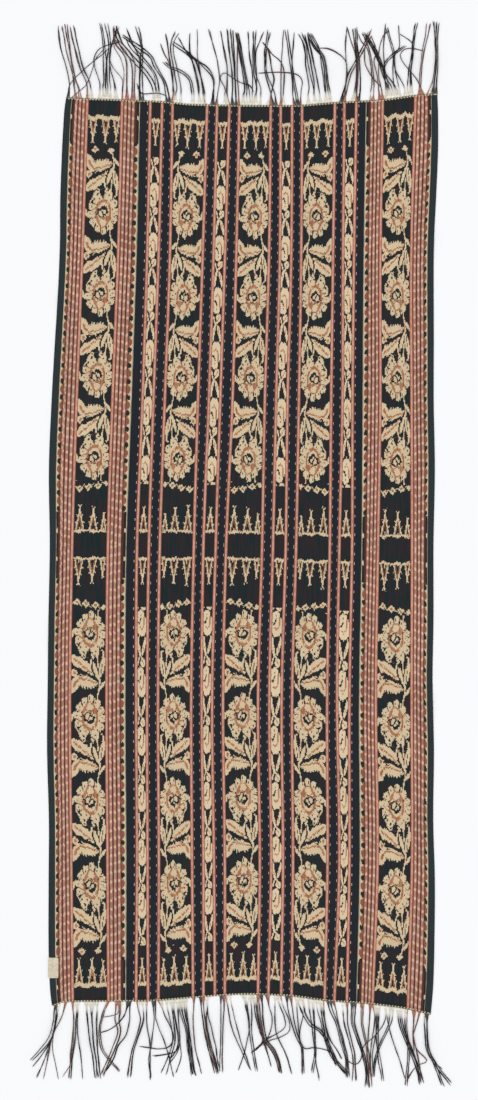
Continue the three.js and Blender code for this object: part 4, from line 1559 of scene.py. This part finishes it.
def fringe_paths(column, side, bunches, seed):
    """Centre lines of the strands with the kind of warp at each root."""
    chance = np.random.default_rng(seed)
    left = float(crosswise(0.0, side * ENDS_AT))
    wide = float(crosswise(1.0, side * ENDS_AT)) - left
    paths = []
    for number, (count, *bends) in enumerate(bunches):
        bends = np.array(bends) * ROW_MM
        leg = math.hypot(*(bends[1, :2] - bends[0, :2]))
        if leg > LONG_LEG:
            bends = np.insert(bends, 1, bends[0] + (bends[1] - bends[0]) * KNEE_AT / leg, axis=0)
        clumps = math.ceil(count / CLUMP_OF)
        ahead = np.gradient(bends[:, :2], axis=0)
        ahead /= np.hypot(ahead[:, 0], ahead[:, 1])[:, None]
        for k in range(count):
            share = 0.0 if count == 1 else 2 * k / (count - 1) - 1
            clump = 0.0 if clumps == 1 else 2 * (k * clumps // count) / (clumps - 1) - 1
            loose = chance.uniform(-1, 1, len(bends)) * (0.1 * bends[:, 2] + 0.55)
            off = (CLUMP_PULL * clump + (1 - CLUMP_PULL) * share) * bends[:, 2] + loose
            off[0] = share * bends[0, 2]
            x = bends[:, 0] + off * ahead[:, 1]
            y = bends[:, 1] - off * ahead[:, 0]
            y[0] = float(along(ENDS, column, (x[0] - left) / wide)) - side * STRAND_ROOTED
            trim = chance.uniform(-TIP_TRIM, TIP_TRIM)
            x[-1] += ahead[-1, 0] * trim
            y[-1] = side * min(side * (y[-1] + ahead[-1, 1] * trim), FRINGE_REACH)
            length = distances(np.stack([x, y], 1))
            table = np.stack([length, x, y], 1)
            at = np.linspace(0, length[-1], PATH_POINTS)
            u = at / length[-1]
            sway = chance.uniform(0.3, 1.1) * u
            wander = sway * np.sin(2 * math.pi * (at / chance.uniform(45, 90) + chance.uniform()))
            high = 1.1 + ((number + k) % 4) * 0.85 * np.sin(math.pi * np.clip(u * 1.15, 0, 1)) ** 2
            path = np.stack([along(table, 1, at) + wander, along(table, 2, at), high], 1)
            paths.append((path, root_kind(float(x[0]), side)))
    return paths


def strand_rings(path, radius, turns, steps, around, phase, thin=1.0):
    """Rings of a two-ply strand along its path, thin at its root, with the distance from its root."""
    length = distances(path)
    at = np.linspace(0, length[-1], steps)
    centre = np.stack([np.interp(at, length, path[:, k]) for k in range(3)], 1)
    ahead = np.gradient(centre, axis=0)
    ahead /= np.linalg.norm(ahead, axis=1)[:, None]
    side = np.cross(ahead, (0, 0, 1))
    side /= np.linalg.norm(side, axis=1)[:, None]
    up = np.cross(side, ahead)
    share = np.linspace(0, 1, steps)
    angle = np.linspace(0, 2 * math.pi, around, endpoint=False)
    twist = 2 * math.pi * turns * share + phase
    lobe = 1 + 0.24 * np.cos(2 * (angle[None, :] - twist[:, None]))
    taper = np.clip((1.02 - share) / 0.06, 0.3, 1)
    taper = taper * (thin + (1 - thin) * np.clip((at - 8) / 14, 0, 1))
    size = radius * lobe * taper[:, None]
    ring = centre[:, None, :] + size[:, :, None] * (
        np.cos(angle)[None, :, None] * side[:, None, :] + np.sin(angle)[None, :, None] * up[:, None, :])
    return ring, at


def bead_rings(centre, turn, sizes):
    """Small spindle for one turn of the twined edging."""
    around, stacks = 6, 4
    share = np.linspace(0, 1, stacks + 1)
    wide = np.clip(np.sin(math.pi * share), 0.12, 1)
    angle = np.linspace(0, 2 * math.pi, around, endpoint=False)
    x = np.repeat(((share - 0.5) * 2 * sizes[0])[:, None], around, 1)
    y = sizes[1] * wide[:, None] * np.cos(angle)[None, :]
    z = sizes[2] * wide[:, None] * np.sin(angle)[None, :]
    c, n = math.cos(turn), math.sin(turn)
    return np.stack([centre[0] + c * x - n * y, centre[1] + n * x + c * y, centre[2] + z], 2)


class Bundle:
    """Collects closed tubes into one mesh with their maps."""

    def __init__(self):
        self.points, self.faces, self.picks = [], [], []
        self.strand, self.bake = [], []
        self.count = 0

    def tube(self, ring, measure, pick, cell):
        """Add one tube: rings of points, distance at each ring, finish, and its cell in the bake map."""
        steps, around = ring.shape[:2]
        base = self.count
        self.points.append(ring.reshape(-1, 3))
        self.count += steps * around
        left, low, right, high = cell
        for r in range(steps - 1):
            for a in range(around):
                b = (a + 1) % around
                self.faces.append((
                    base + r * around + a, base + r * around + b,
                    base + (r + 1) * around + b, base + (r + 1) * around + a))
                self.picks.append(pick)
                for rr, aa in ((r, a), (r, a + 1), (r + 1, a + 1), (r + 1, a)):
                    self.strand.append((aa / around, measure[rr]))
                    self.bake.append((left + (right - left) * aa / around, low + (high - low) * rr / (steps - 1)))
        for r, order in ((0, -1), (steps - 1, 1)):
            loop = [base + r * around + a for a in range(around)][::order]
            self.faces.append(tuple(loop))
            self.picks.append(pick)
            for n in range(around):
                turn = 2 * math.pi * n / around
                self.strand.append((0.5, measure[r]))
                self.bake.append((
                    (left + right) / 2 + (right - left) * 0.4 * math.cos(turn),
                    (low - 0.003 if r == 0 else high + 0.003) + 0.001 * math.sin(turn)))

    def make(self, name, finishes):
        made = piece_from(name, np.concatenate(self.points), self.faces, finishes, self.picks)
        lay_map(made.data, "Strand", self.strand)
        lay_map(made.data, "OFBake", self.bake)
        return made


def fringe_piece(name, column, side, bunches, seed, sizes, finishes):
    """Strands, their root yarns and the twined edging, as one piece."""
    chance = np.random.default_rng(seed + 50)
    bundle = Bundle()
    kinds = {"undyed": 0, "rose": 1, "dark": 2}
    paths = fringe_paths(column, side, bunches, seed)
    radius = sizes.strand_radius / MM
    columns = len(paths)
    for number, (path, kind) in enumerate(paths):
        ring, at = strand_rings(
            path, radius * chance.uniform(0.85, 1.15), sizes.strand_turns, sizes.strand_steps, 7,
            chance.uniform(0, math.pi), 0.4)
        cell = ((number + 0.12) / columns, 0.01, (number + 0.88) / columns, 0.62)
        bundle.tube(ring, at, kinds[kind], cell)
        gone = distances(path[:, :2])
        for k, away in enumerate((-1, 1)):
            meet = chance.uniform(*YARN_MEETS)
            u = np.linspace(0, 1, 6)
            yarn = np.stack([np.interp(u * meet, gone, path[:, j]) for j in range(3)], 1)
            yarn[:, 0] += away * chance.uniform(1.0, 2.6) * (1 - u) ** 1.4
            yarn[:, 2] += 0.2 - 0.5 * (1 - u)
            ring, at = strand_rings(yarn, YARN_RADIUS, 0, 6, 4, 0)
            cell = ((2 * number + k + 0.15) / (2 * columns), 0.64, (2 * number + k + 0.85) / (2 * columns), 0.8)
            bundle.tube(ring, at, kinds[kind], cell)
    start = float(crosswise(0.0, side * EDGING_AT))
    stop = float(crosswise(1.0, side * EDGING_AT))
    count = int((stop - start) / (sizes.bead_pitch / MM))
    for n in range(count):
        share = (n + 0.5) / count
        outer = float(along(ENDS, column, share))
        for row, (off, turn, pick, high, size) in enumerate(EDGING):
            y = outer - side * off
            step = 0.5 * row / count if n < count - 1 else 0.0
            ring = bead_rings((float(crosswise(share + step, y)), y, high), side * turn, size)
            cell = ((n + 0.1) / count, 0.83 + 0.08 * row, (n + 0.9) / count, 0.89 + 0.08 * row)
            bundle.tube(ring, np.zeros(len(ring)), pick, cell)
    return bundle.make(name, finishes)


def strand_finishes(dyes):
    """Finishes of the strands by the warp at their root, and of the twined edging."""
    weave, given, out = effect(
        "Twisted yarn",
        (("Place", "NodeSocketVector", None), ("Twist", "NodeSocketFloat", 2.6)),
        (("Height", "NodeSocketFloat"), ("Tone", "NodeSocketFloat")),
    )
    around, length = parts_of(weave, given["Place"])
    turn = maths(weave, "ADD", maths(weave, "MULTIPLY", around, 4.0), maths(weave, "DIVIDE", length, given["Twist"]))
    ridge = ridges(weave, turn)
    hair = cloudy(weave, maths(weave, "MULTIPLY", around, 3.0), maths(weave, "DIVIDE", length, 7), 3.0)
    # Painted shade: the yarn is darker in the grooves between its two plies.
    groove_shade = spread(weave, ridge, 0, 0.6, 0.75, 1.0)
    fill(weave, out["Height"], ridge)
    # Tone is the painted groove shade times a random tone of the hairs.
    fill(weave, out["Tone"], maths(weave, "MULTIPLY", groove_shade, spread(weave, hair, 0.25, 0.75, 0.7, 1.35)))
    made = []
    rows = (
        # name, root, tip, distance from the root at which it changes
        ("undyed_root", dyed(252, 247, 232), dyes.fringe, 23.0),
        ("rose_root", dyed(190, 128, 108), dyed(98, 66, 58), 16.0),
        ("dark_root", dyed(96, 92, 92), dyes.fringe, 9.0),
        ("edging_pale", dyes.bead, dyes.bead, 10.0),
        ("edging_dark", dyed(126, 112, 76), dyed(126, 112, 76), 10.0),
    )
    for name, root, tip, change in rows:
        finish, tree, shader = new_finish(name)
        place = map_place(tree, "Strand")
        yarn = use(tree, weave, {"Place": place})
        _, length = parts_of(tree, place)
        ragged = maths(tree, "ADD", length, spread(tree, yarn["Tone"], 0.6, 1.3, -5.0, 5.0))
        colour = blend(tree, spread(tree, ragged, change - 6, change + 5), root, tip)
        roughness = spread(tree, yarn["Tone"], 0.6, 1.3, 0.9, 0.7)
        # The yarn's tone darkens the colour with the painted groove shade.
        coat(tree, shader, toned(tree, colour, yarn["Tone"]), roughness, yarn["Height"], 0.5, 0.0003)
        made.append(finish)
    return made


class IKAT_OT_twist_fringes(bpy.types.Operator):
    """Twist the warp ends of both fringes and twine their edging"""
    bl_idname = "ikat.twist_fringes"
    bl_label = "Twist Fringes"

    def execute(self, context):
        sizes = context.scene.ikat_sizes
        finishes = strand_finishes(context.scene.ikat_dyes)
        for name, node, column, side, bunches, seed in (
            ("warp_fringe_top", "fringe_top", 2, 1, TOP_BUNCHES, 11),
            ("warp_fringe_bottom", "fringe_bottom", 1, -1, BOTTOM_BUNCHES, 23),
        ):
            made = fringe_piece(name, column, side, bunches, seed, sizes, finishes)
            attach(made, "root")
            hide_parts(node)
        return {"FINISHED"}


# Label

def label_finish(dyes):
    """Fine woven tape, bare of any mark."""
    made, tree, shader = new_finish("label_tape")
    place = map_place(tree, "Tape")
    east, north = parts_of(tree, place)
    weft = ridges(tree, maths(tree, "DIVIDE", north, 0.7))
    warp = ridges(tree, maths(tree, "DIVIDE", east, 0.5))
    height = maths(tree, "MULTIPLY", weft, warp)
    cloud = stretched(tree, place, 9, 9, 4.0)
    colour = blend(tree, spread(tree, cloud, 0.35, 0.7), dyes.label, dyed(206, 192, 166))
    # Painted shade: the low parts between the tape's threads are darker.
    colour = blend(tree, spread(tree, height, 0.0, 0.5, 0.35, 0.0), colour, dyed(160, 146, 120))
    coat(tree, shader, colour, spread(tree, cloud, 0.3, 0.7, 0.75, 0.9), height, 0.5, 0.0002)
    return made


def label_mesh(finish):
    """Thin tab with rounded corners and one end curled a little off the cloth."""
    wide, long, thick = LABEL_SIZE
    across, count = LABEL_CELLS
    s, t = np.meshgrid(np.linspace(-1, 1, across + 1), np.linspace(-1, 1, count + 1))
    pull = np.clip((np.abs(t) * long / 2 - (long / 2 - LABEL_CORNER)) / LABEL_CORNER, 0, 1)
    narrow = 1 - (LABEL_CORNER / (wide / 2)) * (1 - np.sqrt(np.clip(1 - pull ** 2, 0, 1))) * 0.8
    x = s * wide / 2 * narrow
    y = t * long / 2
    curl = 0.5 * np.clip(t, 0, 1) ** 3 + 0.25 * np.clip(s * -t, 0, 1) ** 2
    edge = 0.18 * ((np.abs(s) > 0.99) | (np.abs(t) > 0.99))
    c, n = math.cos(LABEL_AT["turn"]), math.sin(LABEL_AT["turn"])
    px = LABEL_AT["x"] + c * x - n * y
    py = LABEL_AT["y"] + n * x + c * y
    low = LABEL_AT["low"] + curl + edge
    high = LABEL_AT["low"] + curl + thick - edge
    points = two_faces(px, py, high, low)
    row = across + 1
    under = row * (count + 1)
    faces, tape = [], []

    def spot(r, c):
        return (float(s[r, c]) * wide / 2, float(t[r, c]) * long / 2)

    for r in range(count):
        for c in range(across):
            corners = ((r, c), (r, c + 1), (r + 1, c + 1), (r + 1, c))
            for shift, order in ((0, 1), (under, -1)):
                loop = corners[::order]
                faces.append(tuple(shift + rr * row + cc for rr, cc in loop))
                tape += [spot(rr, cc) for rr, cc in loop]
    rim = [(0, c) for c in range(across)] + [(r, across) for r in range(count)]
    rim += [(count, c) for c in range(across, 0, -1)] + [(r, 0) for r in range(count, 0, -1)]
    for p, q in zip(rim, rim[1:] + rim[:1]):
        a, b = p[0] * row + p[1], q[0] * row + q[1]
        faces.append((a, a + under, b + under, b))
        tape += [spot(*p), spot(*p), spot(*q), spot(*q)]
    made = piece_from("plain_label", points, faces, [finish])
    lay_map(made.data, "Tape", tape)
    return made


class IKAT_OT_sew_label(bpy.types.Operator):
    """Lay the plain label on the corner of the cloth"""
    bl_idname = "ikat.sew_label"
    bl_label = "Sew Label"

    def execute(self, context):
        label = label_mesh(label_finish(context.scene.ikat_dyes))
        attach(label, "root")
        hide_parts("label")
        return {"FINISHED"}


# Stage

def floor_finish(colour):
    """Plain pale floor with a faint unevenness."""
    made, tree, shader = new_finish("studio_floor")
    spot = add(tree, "ShaderNodeTexCoord").outputs["Object"]
    cloud = add(tree, "ShaderNodeTexNoise", {"Vector": spot, "Scale": 0.6, "Detail": 1.0}).outputs["Fac"]
    low = tuple(c * 0.99 for c in colour)
    fill(tree, shader.inputs["Base Color"], blend(tree, cloud, low, tuple(colour)))
    shader.inputs["Roughness"].default_value = 0.9
    shader.inputs["Specular IOR Level"].default_value = 0.0
    shader.inputs["Sheen Weight"].default_value = 0.0
    return made


class IKAT_OT_set_stage(bpy.types.Operator):
    """Set the floor, the soft light and the camera"""
    bl_idname = "ikat.set_stage"
    bl_label = "Set Stage"

    def execute(self, context):
        stage = context.scene.ikat_stage
        mesh = bpy.data.meshes.new("studio_floor")
        corners = ((-1, -1), (1, -1), (1, 1), (-1, 1))
        mesh.from_pydata([(x * FLOOR_REACH, y * FLOOR_REACH, FLOOR_LOW) for x, y in corners], [], [(0, 1, 2, 3)])
        floor = bpy.data.objects.new("studio_floor", mesh)
        mesh.materials.append(floor_finish(stage.floor))
        context.scene.collection.objects.link(floor)

        world = bpy.data.worlds.new("studio")
        context.scene.world = world
        world.use_nodes = True
        surround = world.node_tree.nodes["Background"]
        surround.inputs["Color"].default_value = (1.0, 1.0, 1.0, 1.0)
        surround.inputs["Strength"].default_value = stage.daylight

        lamp_data = bpy.data.lights.new("soft_lamp", "SUN")
        lamp_data.energy = stage.sun
        lamp_data.angle = math.radians(LAMP_SPREAD)
        lamp = bpy.data.objects.new("soft_lamp", lamp_data)
        lamp.rotation_euler = [math.radians(turn) for turn in LAMP_TURN]
        context.scene.collection.objects.link(lamp)

        camera_data = bpy.data.cameras.new("camera")
        camera_data.lens = stage.lens
        camera_data.sensor_width = CAMERA_SENSOR
        camera = bpy.data.objects.new("camera", camera_data)
        camera.location = (*CAMERA_OVER, stage.camera_height)
        context.scene.collection.objects.link(camera)
        context.scene.camera = camera
        context.scene.view_settings.view_transform = "Standard"
        return {"FINISHED"}


class IKAT_PT_woven_cloth(bpy.types.Panel):
    """Sizes, colours and steps of the woven cloth"""
    bl_idname = "IKAT_PT_woven_cloth"
    bl_label = "Woven Cloth"
    bl_space_type = "VIEW_3D"
    bl_region_type = "UI"
    bl_category = "Woven Cloth"

    def draw(self, context):
        layout = self.layout
        for group in (context.scene.ikat_sizes, context.scene.ikat_dyes, context.scene.ikat_stage):
            box = layout.box()
            for key in group.__annotations__:
                box.prop(group, key)
        for step in STEPS:
            layout.operator(step.bl_idname)


STEPS = (
    IKAT_OT_set_stage,
    IKAT_OT_twist_fringes,
    IKAT_OT_weave_cloth,
    IKAT_OT_sew_label,
)
CLASSES = (IkatDyes, IkatSizes, IkatStage, *STEPS, IKAT_PT_woven_cloth)


def register():
    for item in CLASSES:
        bpy.utils.register_class(item)
    bpy.types.Scene.ikat_dyes = PointerProperty(type=IkatDyes)
    bpy.types.Scene.ikat_sizes = PointerProperty(type=IkatSizes)
    bpy.types.Scene.ikat_stage = PointerProperty(type=IkatStage)


def unregister():
    del bpy.types.Scene.ikat_stage
    del bpy.types.Scene.ikat_sizes
    del bpy.types.Scene.ikat_dyes
    for item in reversed(CLASSES):
        bpy.utils.unregister_class(item)


def main():
    """Register the add-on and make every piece."""
    register()
    bpy.ops.ikat.set_stage()
    bpy.ops.ikat.twist_fringes()
    bpy.ops.ikat.weave_cloth()
    bpy.ops.ikat.sew_label()


if __name__ == "__main__":
    main()
